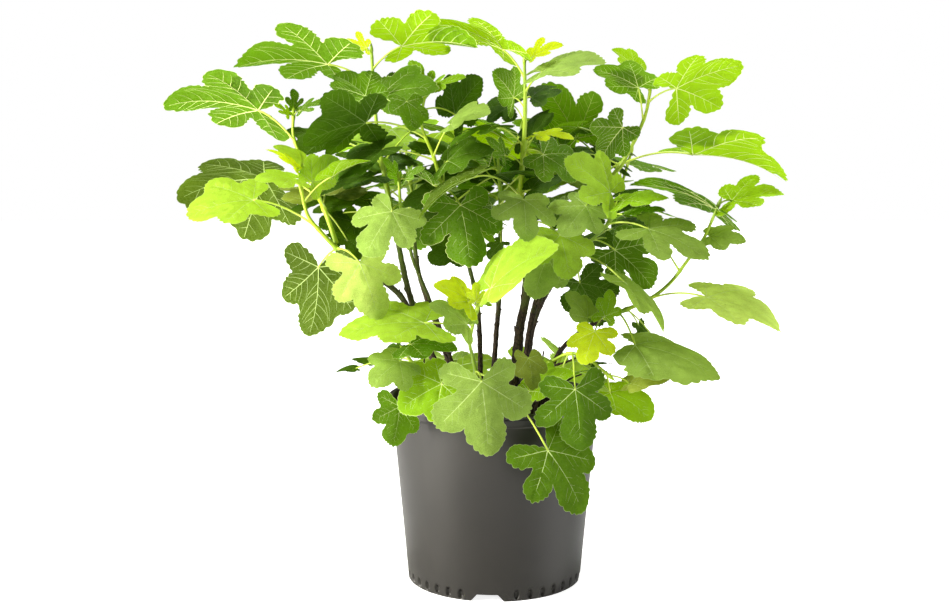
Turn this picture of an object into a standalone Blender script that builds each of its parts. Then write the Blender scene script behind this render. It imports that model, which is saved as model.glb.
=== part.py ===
"""A bushy young fig tree in a round nursery pot, as separate solids: pot, soil, stems and masses of foliage.

The origin is the middle of the pot's underside, +Z is up and the front of the plant faces -Y. All sizes are
in centimetres until mesh_object() turns them into metres. The tables give places as they are seen from the
front: across from the pot's axis, up from its foot, and how far in front of the axis.
"""

import itertools
import math
import random

import bmesh
import bpy
import numpy as np
from mathutils import Matrix, Vector
from mathutils.bvhtree import BVHTree

CM = 0.01
GAP = 0.03

# The front view that the tables are read in
EYE_DISTANCE = 190.0
EYE_TILT = math.radians(7.6)
SIGHT_ACROSS = -2.6
SIGHT_UP = 34.5
SIGHT_HEIGHT = 35.7

# The pot
POT_HEIGHT = 24.0
FOOT_RADIUS = 11.2
WALL_SLOPE = 0.09
WALL = 0.25
LIP_RADIUS = 13.8
LIP_DEPTH = 0.5
LIP_BEVEL = 0.12
INNER_BEVEL = (0.05, 0.1)
BAND_DROP = 1.7
BAND_PROUD = 0.12
FLOOR = 0.6
FOOT_ROUND = 0.25
POT_SIDES = 48
SOIL_TOP = 22.3
NOTCH_ACROSS = -1.0
NOTCH_WIDTHS = (4.2, 2.6)
NOTCH_HEIGHT = 0.9
NOTCH_DEPTH = 0.12
CUTTER_BELOW = 1.0
CUTTER_BEYOND = 3.0
SHARP_ANGLE = math.radians(30)

# The foliage
LEAF_THICKNESS = 0.16
LEAF_CLEARANCE = 0.05
STALK_HALF = 0.12
STALK_ROOM = 1.2
STALK_RISE = 0.18
BEND_STEP = 0.5
SHOOT_SIDES = 5
SHOOT_TIP_RADIUS = 0.18
TOP_LEAVES = 0.9
RIM_ROOM = 0.7
RIM_BELOW = 3.0
STALK_STEPS = 2
RIM_STEPS = 6
LOWEST_NODE = 0.5
STEM_SIDES = 7
PATH_STEPS = 2

# Blade outlines for a midrib of 1. Each lobe has its angle from the midrib, its length and its half angle as
# seen from the knuckle, and the body is how far the blade reaches between the lobes.
DEEP = {"lobes": ((0, 1.0, 25), (52, 0.84, 20.5), (108, 0.60, 26)), "body": 0.45}
BROAD = {"lobes": ((0, 1.0, 27.5), (51, 0.84, 23.5), (106, 0.62, 29)), "body": 0.55}
YOUNG = {"lobes": ((0, 1.0, 19), (43, 0.72, 17), (98, 0.42, 22)), "body": 0.34}
WHOLE = {"lobes": ((0, 1.0, 40), (56, 0.72, 34), (104, 0.42, 34)), "body": 0.52}
FORMS = (DEEP, BROAD, YOUNG, WHOLE)

# A lobe's reach falls off from its tip over its shoulders to its foot, by shares of its half angle
LOBE_SHARES = (0, 0.3, 0.6, 0.85, 1.0, 1.16, 1.5)
LOBE_REACHES = (1.0, 0.96, 0.89, 0.82, 0.72, 0.42, 0.0)
OUTLINE_ANGLES = (7, 21, 29, 45, 61, 82, 118)
YOUNG_ANGLES = (10, 26, 43, 72, 115)
OUTLINE_BLEND = 10
BODY_BACK = 0.34
ARCH = 0.07
SIDE_DROOP = 0.16

# The side of a blade that counts as its upper one is the one that leans this way
UPPER_SIDE = Vector((0.3, 0, 1))

# Each stem: where it starts (None at the soil), its way up as (across, up, front), its radius at both ends
STEMS = {
    "stem_left_high": (None, ((-5.0, 22.3, 2), (-8.3, 28.5, 1.5), (-11, 36, 0),
                              (-12.7, 44, -1.5)), 0.48, 0.33),
    "stem_left": ("stem_left_high", ((-9.6, 31, 1.2), (-11.8, 35.2, 3), (-14, 37.3, 4), (-16.9, 39.4, 5),
                                     (-19.9, 41.3, 5.5)), 0.38, 0.30),
    "stem_left_centre": (None, ((-3.2, 22.3, 5), (-6.4, 29.7, 5.5), (-8.3, 35, 6), (-10.4, 40, 6.5),
                                (-11.1, 42.8, 6.5)), 0.26, 0.20),
    "stem_centre_left": (None, ((-1.8, 22.3, 3), (-1.9, 29.4, 3), (-2.2, 34.4, 3), (-3.2, 39, 3.2),
                                (-4.6, 43.2, 3)), 0.34, 0.24),
    "stem_centre": (None, ((-0.4, 22.3, -1), (0.1, 29.4, -1), (0.6, 36.4, -2), (0.7, 44.5, -3)), 0.36, 0.28),
    "stem_centre_high": (None, ((2.2, 22.3, 1), (3.2, 31.3, 0.5), (4.1, 36.4, 0),
                                (3.6, 42.6, -0.5)), 0.72, 0.42),
    "stem_right_high": (None, ((3.6, 22.3, -2), (4.6, 32, -2.5), (7.4, 40.9, -3), (10.6, 44.7, -3.5),
                               (14.2, 50.2, -4)), 0.42, 0.28),
    "stem_right_front": ("stem_right_high", ((5.6, 34.5, -2.4), (7.0, 37.5, 0.5),
                                             (9.8, 40.3, 2.5)), 0.26, 0.20),
    "stem_right": (None, ((5.4, 22.3, 2), (7.6, 27.2, 2), (10.2, 30.4, 2), (13.8, 32.7, 2.5)), 0.34, 0.26),
    "stem_front": (None, ((-1.7, 22.3, 9.6), (-2.3, 25.2, 10)), 0.30, 0.26),
    "stem_front_left": (None, ((-6.4, 22.3, 6), (-7.9, 25.4, 7)), 0.24, 0.20),
    "stem_front_right": (None, ((5.2, 22.3, 5), (6.8, 26.9, 5.5)), 0.26, 0.22),
    "stem_back_left": (None, ((-4.2, 22.3, -4), (-7.2, 31, -8), (-9.6, 38, -12),
                              (-10.4, 43, -14)), 0.40, 0.28),
    "stem_back": (None, ((2.4, 22.3, -5.5), (3.3, 31, -10), (3.9, 39, -14), (3.4, 43, -15)), 0.42, 0.28),
    "stem_back_right": (None, ((4.0, 22.3, -5.5), (5.0, 32, -8), (8.4, 38.5, -11),
                               (12.6, 42, -12.5)), 0.38, 0.27),
    "stem_back_low_left": (None, ((-5.5, 22.3, -7), (-6.6, 25.4, -9)), 0.24, 0.20),
    "stem_back_low_right": (None, ((6.4, 22.3, -7.5), (7.4, 25.4, -9.5)), 0.24, 0.20),
}

# Each mass: the stem it grows on, its shoot's way on from there, and its leaves that show from the front.
# A leaf is (place along the shoot, knuckle, tip, front, lean, turn, fold, form). The knuckle joins stalk and
# blade, and lean is how far the tip comes forward of it. Turn is 0 where the upper side faces the eye, 90
# where it faces up, and 180 where the underside faces the eye. Fold is how far each half rises from flat.
# Both are in degrees.
MASSES = {
    "foliage_left_high": ("stem_left_high", ((-14.4, 52.4, -2), (-15.3, 59, -2), (-15.8, 67, -2)), (
        (0.80, (-21.4, 65.3), (-33.5, 65.1), -1, 2, 114, 12, DEEP),
        (0.90, (-11.9, 67.6), (-2.2, 67.6), -1, 2, 118, 18, DEEP),
        (0.97, (-16.4, 67.4), (-19.6, 68), -2, 0, 140, 15, YOUNG),
        (0.72, (-16.6, 61.2), (-20.6, 64), 1, 3, 130, 15, BROAD),
        (0.68, (-14.6, 61.3), (-7.1, 62.2), 1.5, 2, 55, 4, BROAD),
        (0.37, (-20.6, 55.6), (-24.6, 53.7), -3, -5, 125, 15, BROAD),
        (0.35, (-13.0, 52.6), (-10.4, 53.2), -4, -3, 60, 4, BROAD),
        (0.27, (-15.6, 50.9), (-22.7, 48.1), 0, 1, 75, 4, DEEP),
        (0.10, (-16.6, 47.9), (-26.8, 46.5), 0, -1, 80, 4, DEEP),
        (0.02, (-19.6, 46.2), (-20.1, 42.0), -6, 1, 25, -8, BROAD),
        (0.06, (-18.2, 45.1), (-17.9, 40.0), -7, 1, 30, 4, BROAD),
        (0.75, (-13.1, 60.6), (-13.1, 64.4), -6, 0, 40, 4, BROAD))),
    "foliage_left": ("stem_left", ((-22.3, 43.8, 6), (-24, 46, 6.5), (-24.9, 49.6, 6.5)), (
        (0.40, (-31.0, 47.9), (-39.6, 45.6), 7, 2, 58, 8, BROAD),
        (0.90, (-25.6, 50.6), (-30.8, 50.4), 8, 2, 72, 4, BROAD),
        (1.00, (-25.4, 52.0), (-29.4, 54.4), 7, 0, 75, 4, YOUNG),
        (1.00, (-24.7, 52.6), (-28.4, 55.0), 4, -1, 70, 8, BROAD),
        (0.95, (-23.4, 50.2), (-20.1, 53.3), 4.5, -1, 140, 10, BROAD),
        (0.80, (-20.8, 50.9), (-16.0, 52.9), 7.5, 1, 100, 15, BROAD),
        (0.02, (-22.6, 39.3), (-23.7, 30.4), 4, 1, 150, 12, BROAD),
        (0.04, (-17.3, 39.8), (-14.9, 32.6), 10, 2, 15, -12, DEEP))),
    "foliage_left_outer": ("stem_left", ((-21.6, 46, 3.5), (-22.9, 49, 1), (-24.6, 52.8, -1), (-25.8, 56, -2),
                                         (-25.8, 59.2, -2)), (
        (0.80, (-30.3, 59.4), (-42.6, 60.3), -2, 1, 118, 8, DEEP),
        (1.00, (-25.8, 59.6), (-25.8, 62.2), -2, 0, 30, 4, YOUNG),
        (0.97, (-25.0, 59.3), (-21.4, 60.5), -2, 0, 70, 4, YOUNG),
        (0.97, (-26.4, 58.8), (-28.4, 60.3), -1, 0, 60, 4, YOUNG),
        (0.35, (-29.5, 50.6), (-40.6, 48.4), -5, -1, 132, -16, BROAD))),
    "foliage_left_centre": ("stem_left_centre", ((-12.0, 46.5, 7), (-12.3, 50.5, 7)), (
        (0.60, (-13.2, 46.4), (-16.7, 40.5), 10, 2, 22, -12, DEEP),
        (1.00, (-12.5, 50.8), (-14.4, 53.2), 7, 1, 50, 4, YOUNG),
        (1.00, (-11.6, 50.6), (-9.0, 52.0), 7, 1, 60, 4, YOUNG))),
    "foliage_centre_left": ("stem_centre_left", ((-6.5, 48.6, 3), (-7.8, 53.3, 3), (-9.4, 57.5, 2.5),
                                                 (-9, 61.2, 2)), (
        (0.71, (-16.5, 57.8), (-24.6, 54.9), 5, 3, 128, 15, DEEP),
        (1.00, (-9.2, 61.8), (-10.8, 66.0), 2, 0, 150, 15, YOUNG),
        (1.00, (-8.4, 61.8), (-3.6, 63.7), 3, 1, 70, 4, YOUNG),
        (0.90, (-11.3, 60.5), (-10.5, 56.7), 5, 2, 30, 4, BROAD),
        (0.57, (-5.6, 57.6), (-0.6, 59.2), 6, 3, 72, 10, BROAD),
        (0.90, (-5.1, 58.8), (-1.5, 63.6), -1, -2, 140, 15, BROAD),
        (0.45, (-6.0, 52.9), (-0.3, 54.3), 2, 2, 60, 4, BROAD),
        (0.35, (-7.9, 49.8), (-12.4, 51.7), 5, 1, 100, 15, YOUNG),
        (0.30, (-7.6, 48.6), (-11.8, 47.6), 1, -2, 60, 4, BROAD),
        (0.10, (-6.9, 45.6), (-10.0, 42.8), 1, 1, 45, 4, BROAD),
        (0.02, (-5.3, 41.6), (-8.2, 39.6), 4, 3, 30, 4, BROAD),
        (0.35, (-4.4, 47.2), (-3.1, 39.2), 8, 2, 15, -12, DEEP))),
    "foliage_centre": ("stem_centre_high", ((3.3, 48.6, -0.5), (3.7, 54.4, -1), (3.9, 60, -1),
                                            (3.8, 65.6, -1)), (
        (0.91, (1.0, 67.2), (-8.6, 70.6), -1, 2, 102, 6, DEEP),
        (1.00, (4.8, 66.2), (8.8, 67.8), -1, 0, 120, 15, YOUNG),
        (0.83, (6.1, 64.3), (14.3, 65.5), 1, 1, 78, 6, BROAD),
        (0.74, (2.4, 61.0), (-0.3, 64.4), -3, -2, 140, 15, BROAD),
        (0.78, (4.6, 61.0), (7.6, 62.7), -4, -3, 60, 4, BROAD),
        (0.66, (2.1, 60.0), (-1.5, 59.5), -5, -3, 50, 4, BROAD),
        (0.53, (-0.3, 57.3), (-5.8, 54.7), 4, 2, 78, 4, DEEP),
        (0.50, (4.6, 55.9), (6.4, 59.6), -4, -3, 60, 4, BROAD),
        (0.45, (5.2, 56.2), (10.2, 55.6), 3, 2, 74, 4, YOUNG),
        (0.42, (1.3, 53.6), (-1.2, 55.8), 3, 1, 45, 4, YOUNG),
        (0.50, (6.2, 53.7), (10.6, 50.3), 3, 1, 40, 4, BROAD),
        (0.25, (4.6, 49.2), (9.2, 50.6), 1.5, 1, 62, 4, BROAD),
        (0.25, (-2.8, 50.8), (-9.9, 45.4), 10, 1, 84, 14, BROAD),
        (0.04, (6.8, 40.6), (5.0, 35.1), 5, 1, 30, 4, BROAD),
        (0.10, (8.4, 43.4), (9.7, 37.7), 8, 2, 12, -8, BROAD))),
    "foliage_centre_low": ("stem_centre", ((0.7, 48.5, -3), (0.4, 53.5, -3.5)), (
        (0.30, (3.7, 47.9), (4.0, 42.6), 6, 3, 15, -8, DEEP),
        (0.80, (-1.9, 51.2), (2.6, 50.2), -5, -1, 70, 4, BROAD),
        (0.02, (0.8, 42.5), (-0.8, 40.2), 0, 1, 30, 4, YOUNG))),
    "foliage_right_high": ("stem_right_high", ((16.4, 52.7, -4), (19.1, 58.2, -3.5), (20, 62.3, -3)), (
        (0.68, (18.4, 62.3), (12.6, 64.5), -2, 1, 120, 10, BROAD),
        (0.95, (17.9, 64.9), (15.0, 67.2), -3, 0, 122, 12, BROAD),
        (0.86, (23.3, 62.2), (31.8, 65.0), -2, 2, 134, -12, DEEP),
        (0.22, (25.4, 53.7), (37.7, 50.5), -3, 1, 100, 22, BROAD),
        (0.05, (10.5, 55.8), (6.2, 62.9), -7, 0, 158, 6, DEEP),
        (0.50, (16.4, 57.2), (13.6, 53.1), -1, 1, 150, 15, BROAD),
        (0.15, (15.6, 52.4), (9.0, 54.4), -6, -1, 82, 4, BROAD),
        (0.03, (11.7, 47.1), (8.7, 43.3), 5, 3, 15, -8, DEEP))),
    "foliage_right_front": ("stem_right_front", ((12.9, 43.2, 4), (14.6, 44.9, 5), (16, 47.3, 5.5)), (
        (0.85, (14.8, 48.9), (8.8, 53.1), 7, 1, 48, 4, DEEP),
        (1.00, (16.6, 47.8), (22.4, 48.1), 6, 1, 74, 4, BROAD),
        (0.85, (16.4, 46.0), (21.9, 46.5), 6, 2, 80, 4, YOUNG),
        (0.70, (19.7, 44.2), (27.4, 40.0), 8, 3, 58, 4, DEEP),
        (0.40, (15.4, 41.5), (20.4, 36.7), 4, 1, 150, 15, DEEP),
        (0.35, (14.3, 43.0), (17.0, 41.2), 2, 0, 40, 4, YOUNG),
        (0.10, (16.5, 37.4), (21.9, 31.2), 6, 1, 80, 4, BROAD),
        (0.05, (10.9, 37.3), (13.6, 31.5), 2, 0, 150, 15, DEEP))),
    "foliage_right": ("stem_right", ((17.7, 34.2, 3), (20.3, 35.5, 3), (22.6, 37.4, 3.5), (24.6, 40, 3.5),
                                     (26.7, 42.8, 4), (28.7, 47.3, 4)), (
        (1.00, (28.2, 46.8), (17.4, 50.4), 3, -3, 97, 2, BROAD),
        (1.00, (30.4, 47.8), (37.2, 48.6), 2, 1, 62, 14, DEEP),
        (0.76, (27.6, 43.2), (32.3, 42.4), 5, 1, 60, 4, BROAD),
        (0.30, (27.2, 35.4), (36.8, 31.6), 5, 2, 70, 6, BROAD),
        (0.10, (18.0, 29.3), (28.9, 25.2), 8, 2, 62, -8, WHOLE),
        (0.15, (18.4, 31.9), (19.2, 27.6), 4, 0, 60, 4, YOUNG),
        (0.15, (21.4, 28.3), (23.4, 25.0), 2, 1, 40, 4, YOUNG),
        (0.02, (11.9, 32.8), (9.0, 36.0), 5, 0, 50, 4, BROAD),
        (0.03, (14.1, 33.0), (14.9, 36.4), 4, -1, 40, 4, DEEP),
        (0.01, (12.8, 31.0), (11.4, 26.7), 9, 2, 10, -8, DEEP))),
    "foliage_front": ("stem_front", ((-2.8, 27.7, 10), (-3.2, 30, 10), (-2.2, 34.1, 9)), (
        (1.00, (-3.3, 34.9), (-7.8, 37.1), 10, 1, 55, 4, BROAD),
        (1.00, (-1.9, 34.8), (0.4, 34.9), 7.5, -1, 50, 4, YOUNG),
        (0.97, (-2.4, 34.9), (-2.4, 37.4), 9, 0, 20, -8, YOUNG),
        (0.70, (-3.6, 32.0), (-8.3, 34.7), 11.5, 1, 55, 4, BROAD),
        (0.60, (-9.0, 32.1), (-20.1, 30.3), 12, 1, 66, 6, BROAD),
        (0.95, (-0.5, 36.6), (8.1, 42.0), 12, 1, 66, 10, WHOLE),
        (0.03, (-1.7, 24.6), (-0.9, 15.1), 16.5, 1, 14, -12, DEEP),
        (0.01, (6.8, 15.8), (11.4, 7.9), 15.2, 0.5, 30, -8, DEEP))),
    "foliage_front_left": ("stem_front_left", ((-10.3, 26.8, 8), (-11.6, 28.5, 9)), (
        (0.80, (-12.2, 27.2), (-15.9, 24.1), 12, 3, 25, -8, BROAD),
        (0.60, (-17.8, 26.3), (-20.5, 25.8), 8, 0, 74, 4, WHOLE),
        (0.70, (-15.9, 27.1), (-18.3, 27.5), 6, -1, 70, 4, WHOLE),
        (1.00, (-10.8, 29.4), (-4.8, 28.6), 12, 1, 58, 4, BROAD),
        (0.20, (-11.2, 23.7), (-10.9, 21.7), 9, 0.5, 20, 4, DEEP),
        (0.25, (-12.2, 21.4), (-13.2, 16.3), 10, 1, 25, -8, BROAD),
        (0.05, (-6.8, 24.3), (-12.3, 21.0), 12.5, 0.5, 25, 4, BROAD),
        (1.00, (-12.0, 28.9), (-13.8, 29.2), 7, -1, 50, 4, YOUNG))),
    "foliage_front_right": ("stem_front_right", ((9.5, 28.2, 7), (12, 27.5, 8.5), (14.6, 25.4, 10)), (
        (0.40, (10.3, 23.6), (11.0, 15.8), 13, 1, 14, -12, DEEP),
        (0.03, (4.4, 23.4), (10.0, 25.9), 9.5, 1, 58, 4, BROAD),
        (0.35, (8.2, 24.8), (13.1, 26.0), 7, 0, 82, 4, YOUNG),
        (0.05, (4.3, 27.6), (4.8, 23.6), 7.5, 1, 40, 4, BROAD),
        (0.60, (12.4, 26.7), (15.2, 26.9), 6, -1, 78, 4, YOUNG),
        (1.00, (17.3, 24.4), (22.8, 25.0), 10, 1, 64, 6, WHOLE),
        (0.95, (14.8, 23.2), (20.3, 19.8), 11, 2, 55, 4, WHOLE))),
    "foliage_back_left": ("stem_back_left", ((-10.5, 48, -16), (-11.5, 55, -18)), ()),
    "foliage_back": ("stem_back", ((3.0, 48, -17), (3.4, 57, -19)), ()),
    "foliage_back_right": ("stem_back_right", ((15, 46, -14), (17.5, 54, -16)), ()),
    "foliage_back_low_left": ("stem_back_low_left", ((-7.4, 26.6, -11), (-7.8, 27.4, -12.6)), ()),
    "foliage_back_low_right": ("stem_back_low_right", ((8.0, 26.6, -11.5), (8.4, 27.4, -13)), ()),
}

# A second shoot on the same stem starts beside the first
SIDE_SHOOTS = ("foliage_left_outer",)
SIDE_START = 3.6

# Leaves by rule, which fill the back and the inside: how many a mass gets, the bearings that they spread over
# (0 to the right, 90 to the back, 180 to the left), and the space that they keep to
FILL = {
    "foliage_left_high": (3, 60, 200, "crown"),
    "foliage_left": (2, 150, 230, "crown"),
    "foliage_left_outer": (3, 70, 200, "crown"),
    "foliage_centre_left": (2, 60, 160, "crown"),
    "foliage_centre": (3, 50, 140, "crown"),
    "foliage_centre_low": (3, 60, 130, "crown"),
    "foliage_right_high": (3, 40, 180, "crown"),
    "foliage_right": (2, 70, 170, "crown"),
    "foliage_back_left": (8, 40, 260, "crown"),
    "foliage_back": (8, -20, 200, "crown"),
    "foliage_back_right": (9, -60, 140, "crown"),
    "foliage_back_low_left": (4, 70, 240, "rim"),
    "foliage_back_low_right": (4, -60, 110, "rim"),
}
FILL_SHARES = (0.12, 0.97)
FILL_STALK = (4.5, 7.5)
FILL_BLADE = (8.0, 11.5)
FILL_DROP = {"crown": (-0.75, 0.1), "rim": (-2.4, -0.9)}
FILL_CLIMB = {"crown": (0.25, 0.75), "rim": (-0.1, 0.1)}
FILL_ROLL = 28
FILL_FOLD = (-8, 14)
FILL_TRIES = 5
FILL_RISE = 0.1
BEARING_STEP = 0.618
BEARING_RETRY = 0.21
BEARING_JITTER = 0.08
SEED = 11

# The spaces as the front view shows them: lowest, highest at the middle, how the top falls off, and the
# furthest to the left and to the right
SPACES = {"crown": (41.0, 59.0, 0.011, -28.0, 20.0), "rim": (10.0, 28.0, 0.0, -13.0, 13.0)}

# Ways that a leaf may give way, tried in turn: its size, how much more it turns, and how far it moves along
# the line that it faces
SIZES = (1.0, 0.86, 0.72)
SHIFTS = (0, 1, -1, 2, -2, 3, -3, 4.5, -4.5, 6, -6)
TWISTS = (0, 14, -14, 28, -28)

COLOURS = {
    "pot": (0.045, 0.042, 0.038),
    "soil": (0.030, 0.020, 0.014),
    "stem": (0.055, 0.040, 0.028),
    "leaf": (0.17, 0.32, 0.045),
}
ROUGHNESS = {"pot": 0.45, "soil": 0.95, "stem": 0.8, "leaf": 0.55}


def clear_scene():
    for obj in list(bpy.data.objects):
        bpy.data.objects.remove(obj, do_unlink=True)


def material(name):
    made = bpy.data.materials.new(name)
    made.use_nodes = True
    shader = made.node_tree.nodes["Principled BSDF"]
    shader.inputs["Base Color"].default_value = (*COLOURS[name], 1.0)
    shader.inputs["Roughness"].default_value = ROUGHNESS[name]
    shader.inputs["Metallic"].default_value = 0.0
    return made


def mesh_object(name, shape, finish, collection=None):
    """A new object from a (points, faces) shape in centimetres."""
    points, faces = shape
    mesh = bpy.data.meshes.new(name)
    mesh.from_pydata([point * CM for point in points], [], faces)
    mesh.materials.append(finish)
    obj = bpy.data.objects.new(name, mesh)
    (collection or bpy.context.scene.collection).objects.link(obj)
    return obj


def seen(across, up, front):
    """The point, in centimetres, that shows at this place in the front view and lies this far in front."""
    forward = Vector((0, math.cos(EYE_TILT), -math.sin(EYE_TILT)))
    upward = Vector((0, math.sin(EYE_TILT), math.cos(EYE_TILT)))
    eye = Vector((SIGHT_ACROSS, 0, SIGHT_HEIGHT)) - forward * EYE_DISTANCE
    ray = forward * EYE_DISTANCE + upward * (up - SIGHT_UP) + Vector((across - SIGHT_ACROSS, 0, 0))
    return eye + ray * ((-front - eye.y) / ray.y)


def to_eye(point):
    eye_back = Vector((0, math.cos(EYE_TILT), -math.sin(EYE_TILT))) * EYE_DISTANCE
    return (Vector((SIGHT_ACROSS, 0, SIGHT_HEIGHT)) - eye_back - point).normalized()


def smooth_path(points, steps):
    """Points along one smooth curve through the given ones."""
    ends = [points[0] * 2 - points[1], *points, points[-1] * 2 - points[-2]]
    path = []
    for before, start, end, after in zip(ends, ends[1:], ends[2:], ends[3:]):
        for step in range(steps):
            t = step / steps
            path.append(
                (start * 2 + (end - before) * t + (before * 2 - start * 5 + end * 4 - after) * t**2
                 + (start * 3 - before - end * 3 + after) * t**3) / 2
            )
    return [*path, points[-1]]


def tube(path, radii, sides, first_direction=None):
    """A closed tapering tube along a path. A first direction of straight up gives it a level cut."""
    points = []
    across = None
    for i, (place, radius) in enumerate(zip(path, radii)):
        direction = (path[min(i + 1, len(path) - 1)] - path[max(i - 1, 0)]).normalized()
        if i == 0 and first_direction:
            direction = first_direction
        if across is None:
            across = direction.orthogonal()
        across = (across - direction * across.dot(direction)).normalized()
        beside = direction.cross(across)
        for side in range(sides):
            angle = 2 * math.pi * side / sides
            points.append(place + (across * math.cos(angle) + beside * math.sin(angle)) * radius)
    faces = [tuple(range(sides))[::-1], tuple(range(len(points) - sides, len(points)))]
    for ring in range(len(path) - 1):
        for side in range(sides):
            a, b = ring * sides + side, ring * sides + (side + 1) % sides
            faces.append((a, b, b + sides, a + sides))
    return points, faces


def tapering(count, first, last):
    return [first + (last - first) * i / (count - 1) for i in range(count)]


def stem_path(name):
    """A stem's smooth path, from just above the soil or clear of the side of the stem that bears it."""
    parent, places, base_radius, _ = STEMS[name]
    points = [seen(*place) for place in places]
    if parent is None:
        points[0] = Vector((points[0].x, points[0].y, SOIL_TOP + GAP))
    else:
        clear = STEMS[parent][2] + base_radius
        points[0] = points[0] + (points[1] - points[0]).normalized() * clear
    return smooth_path(points, PATH_STEPS)


def stem_shape(name):
    parent, _, base_radius, tip_radius = STEMS[name]
    path = stem_path(name)
    level = Vector((0, 0, 1)) if parent is None else None
    return tube(path, tapering(len(path), base_radius, tip_radius), STEM_SIDES, level)


def shoot_path(name):
    """The green shoot of a mass: on from its stem's tip, with a small gap."""
    stem, places, _ = MASSES[name]
    end = stem_path(stem)[-1]
    points = [seen(*place) for place in places]
    start = end + stem_end_direction(stem) * GAP
    if name in SIDE_SHOOTS:
        start = start + (points[0] - end).normalized() * SIDE_START * STEMS[stem][3]
    return smooth_path([start, *points], PATH_STEPS)


def stem_end_direction(stem):
    path = stem_path(stem)
    return (path[-1] - path[-2]).normalized()


def shoot_shape(name):
    """The shoot's lower end is parallel to its stem's upper end, so that they meet face to face."""
    stem = MASSES[name][0]
    path = shoot_path(name)
    direction = None if name in SIDE_SHOOTS else stem_end_direction(stem)
    return tube(path, tapering(len(path), STEMS[stem][3], SHOOT_TIP_RADIUS), SHOOT_SIDES, direction)


def along(path, share):
    """The point that lies this share of the way along a path, but clear of its lower end."""
    lengths = [(b - a).length for a, b in zip(path, path[1:])]
    left = max(share * sum(lengths), LOWEST_NODE)
    for start, end, length in zip(path, path[1:], lengths):
        if left <= length:
            return start.lerp(end, left / length)
        left -= length
    return path[-1].copy()


def plain_lobes(form):
    """A form's lobes on both sides of the midrib, as (angle, length, half angle) in radians."""
    lobes = []
    for angle, length, half_angle in form["lobes"]:
        for side in ((1,) if angle == 0 else (1, -1)):
            lobes.append((side * math.radians(angle), length, math.radians(half_angle)))
    return lobes


def reach_at(angles, lobes, body):
    """How far a blade reaches from its knuckle at these angles from the midrib, for a midrib of 1."""
    total = (body * (1 - BODY_BACK + BODY_BACK * np.cos(angles))) ** OUTLINE_BLEND
    for lobe_angle, length, half_angle in lobes:
        share = np.abs(angles - lobe_angle) / half_angle
        total = total + (length * np.interp(share, LOBE_SHARES, LOBE_REACHES)) ** OUTLINE_BLEND
    return total ** (1 / OUTLINE_BLEND)


def coarse_outline(form):
    """A blade's outline as (angle, reach) on both sides of the midrib."""
    degrees = YOUNG_ANGLES if form is YOUNG else OUTLINE_ANGLES
    angles = np.radians([-angle for angle in degrees[::-1]] + list(degrees))
    return list(zip(angles.tolist(), reach_at(angles, plain_lobes(form), form["body"]).tolist()))


def blade_frame(knuckle, tip, facing, turn):
    """The blade's own axes as a matrix: along its midrib, across, and out of its upper side."""
    along_blade = (tip - knuckle).normalized()
    towards = (facing - along_blade * facing.dot(along_blade)).normalized()
    upwards = along_blade.cross(towards)
    if upwards.dot(UPPER_SIDE) < 0:
        upwards = -upwards
    normal = towards * math.cos(math.radians(turn)) + upwards * math.sin(math.radians(turn))
    return Matrix((along_blade, normal.cross(along_blade), normal)).transposed()


def blade_rise(x, y, length, fold):
    """How far the blade stands up here: it arches and folds along the midrib and droops to the sides."""
    return 4 * ARCH * x * (1 - x / length) - SIDE_DROOP * y * y / length + math.tan(fold) * abs(y)


def blade_shape(leaf, extra=0.0):
    """The closed blade: a fan from the knuckle over the outline, with the same fan under it."""
    length = (leaf["tip"] - leaf["knuckle"]).length
    frame = blade_frame(leaf["knuckle"], leaf["tip"], leaf["facing"], leaf["turn"])
    rim = [Vector((-STALK_HALF, -STALK_HALF, 0))]
    for angle, share in leaf["form"]["outline"]:
        reach = share * length + extra
        x, y = reach * math.cos(angle), reach * math.sin(angle)
        rim.append(Vector((x, y, blade_rise(x, y, length, leaf["fold"]))))
    rim.append(Vector((-STALK_HALF, STALK_HALF, 0)))
    half = LEAF_THICKNESS / 2 + extra
    flat = [Vector((0, 0, 0)), *rim]
    count = len(rim)
    points = [leaf["knuckle"] + frame @ (place + Vector((0, 0, half))) for place in flat]
    points += [leaf["knuckle"] + frame @ (place - Vector((0, 0, half))) for place in flat]
    faces = []
    for i in range(count):
        a, b = 1 + i, 1 + (i + 1) % count
        under_a, under_b = a + count + 1, b + count + 1
        faces.append((0, a, b))
        faces.append((count + 1, under_b, under_a))
        faces.append((a, under_a, under_b, b))
    return points, faces


def leaf_shape(leaf):
    """Blade and stalk as one closed solid: the stalk runs from inside the shoot to the blade's back edge."""
    points, faces = blade_shape(leaf)
    count = len(points) // 2
    back = [1, count - 1, 2 * count - 1, count + 1]
    faces.pop()
    path = stalk_path(leaf)
    rings = [back]
    for i in range(len(path) - 2, -1, -1):
        direction = (path[i + 1] - path[max(i - 1, 0)]).normalized()
        across = points[back[1]] - points[back[0]]
        across = (across - direction * across.dot(direction)).normalized() * STALK_HALF
        above = direction.cross(across).normalized() * STALK_HALF
        rings.append(list(range(len(points), len(points) + 4)))
        points += [path[i] - across + above, path[i] + across + above]
        points += [path[i] + across - above, path[i] - across - above]
    for outer, inner in zip(rings, rings[1:]):
        for side in range(4):
            after = (side + 1) % 4
            faces.append((outer[side], outer[after], inner[after], inner[side]))
    faces.append(tuple(rings[-1]))
    return points, faces


def arc(start, bend, end, steps):
    shares = [step / steps for step in range(steps + 1)]
    return [start * (1 - t) ** 2 + bend * 2 * t * (1 - t) + end * t**2 for t in shares]


def meets_rim(point):
    """Whether a stalk here would touch the pot's rim, or the soil behind it."""
    beside = abs(point.xy.length - LIP_RADIUS) < RIM_ROOM
    return beside and POT_HEIGHT - RIM_BELOW < point.z < POT_HEIGHT + RIM_ROOM


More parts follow.
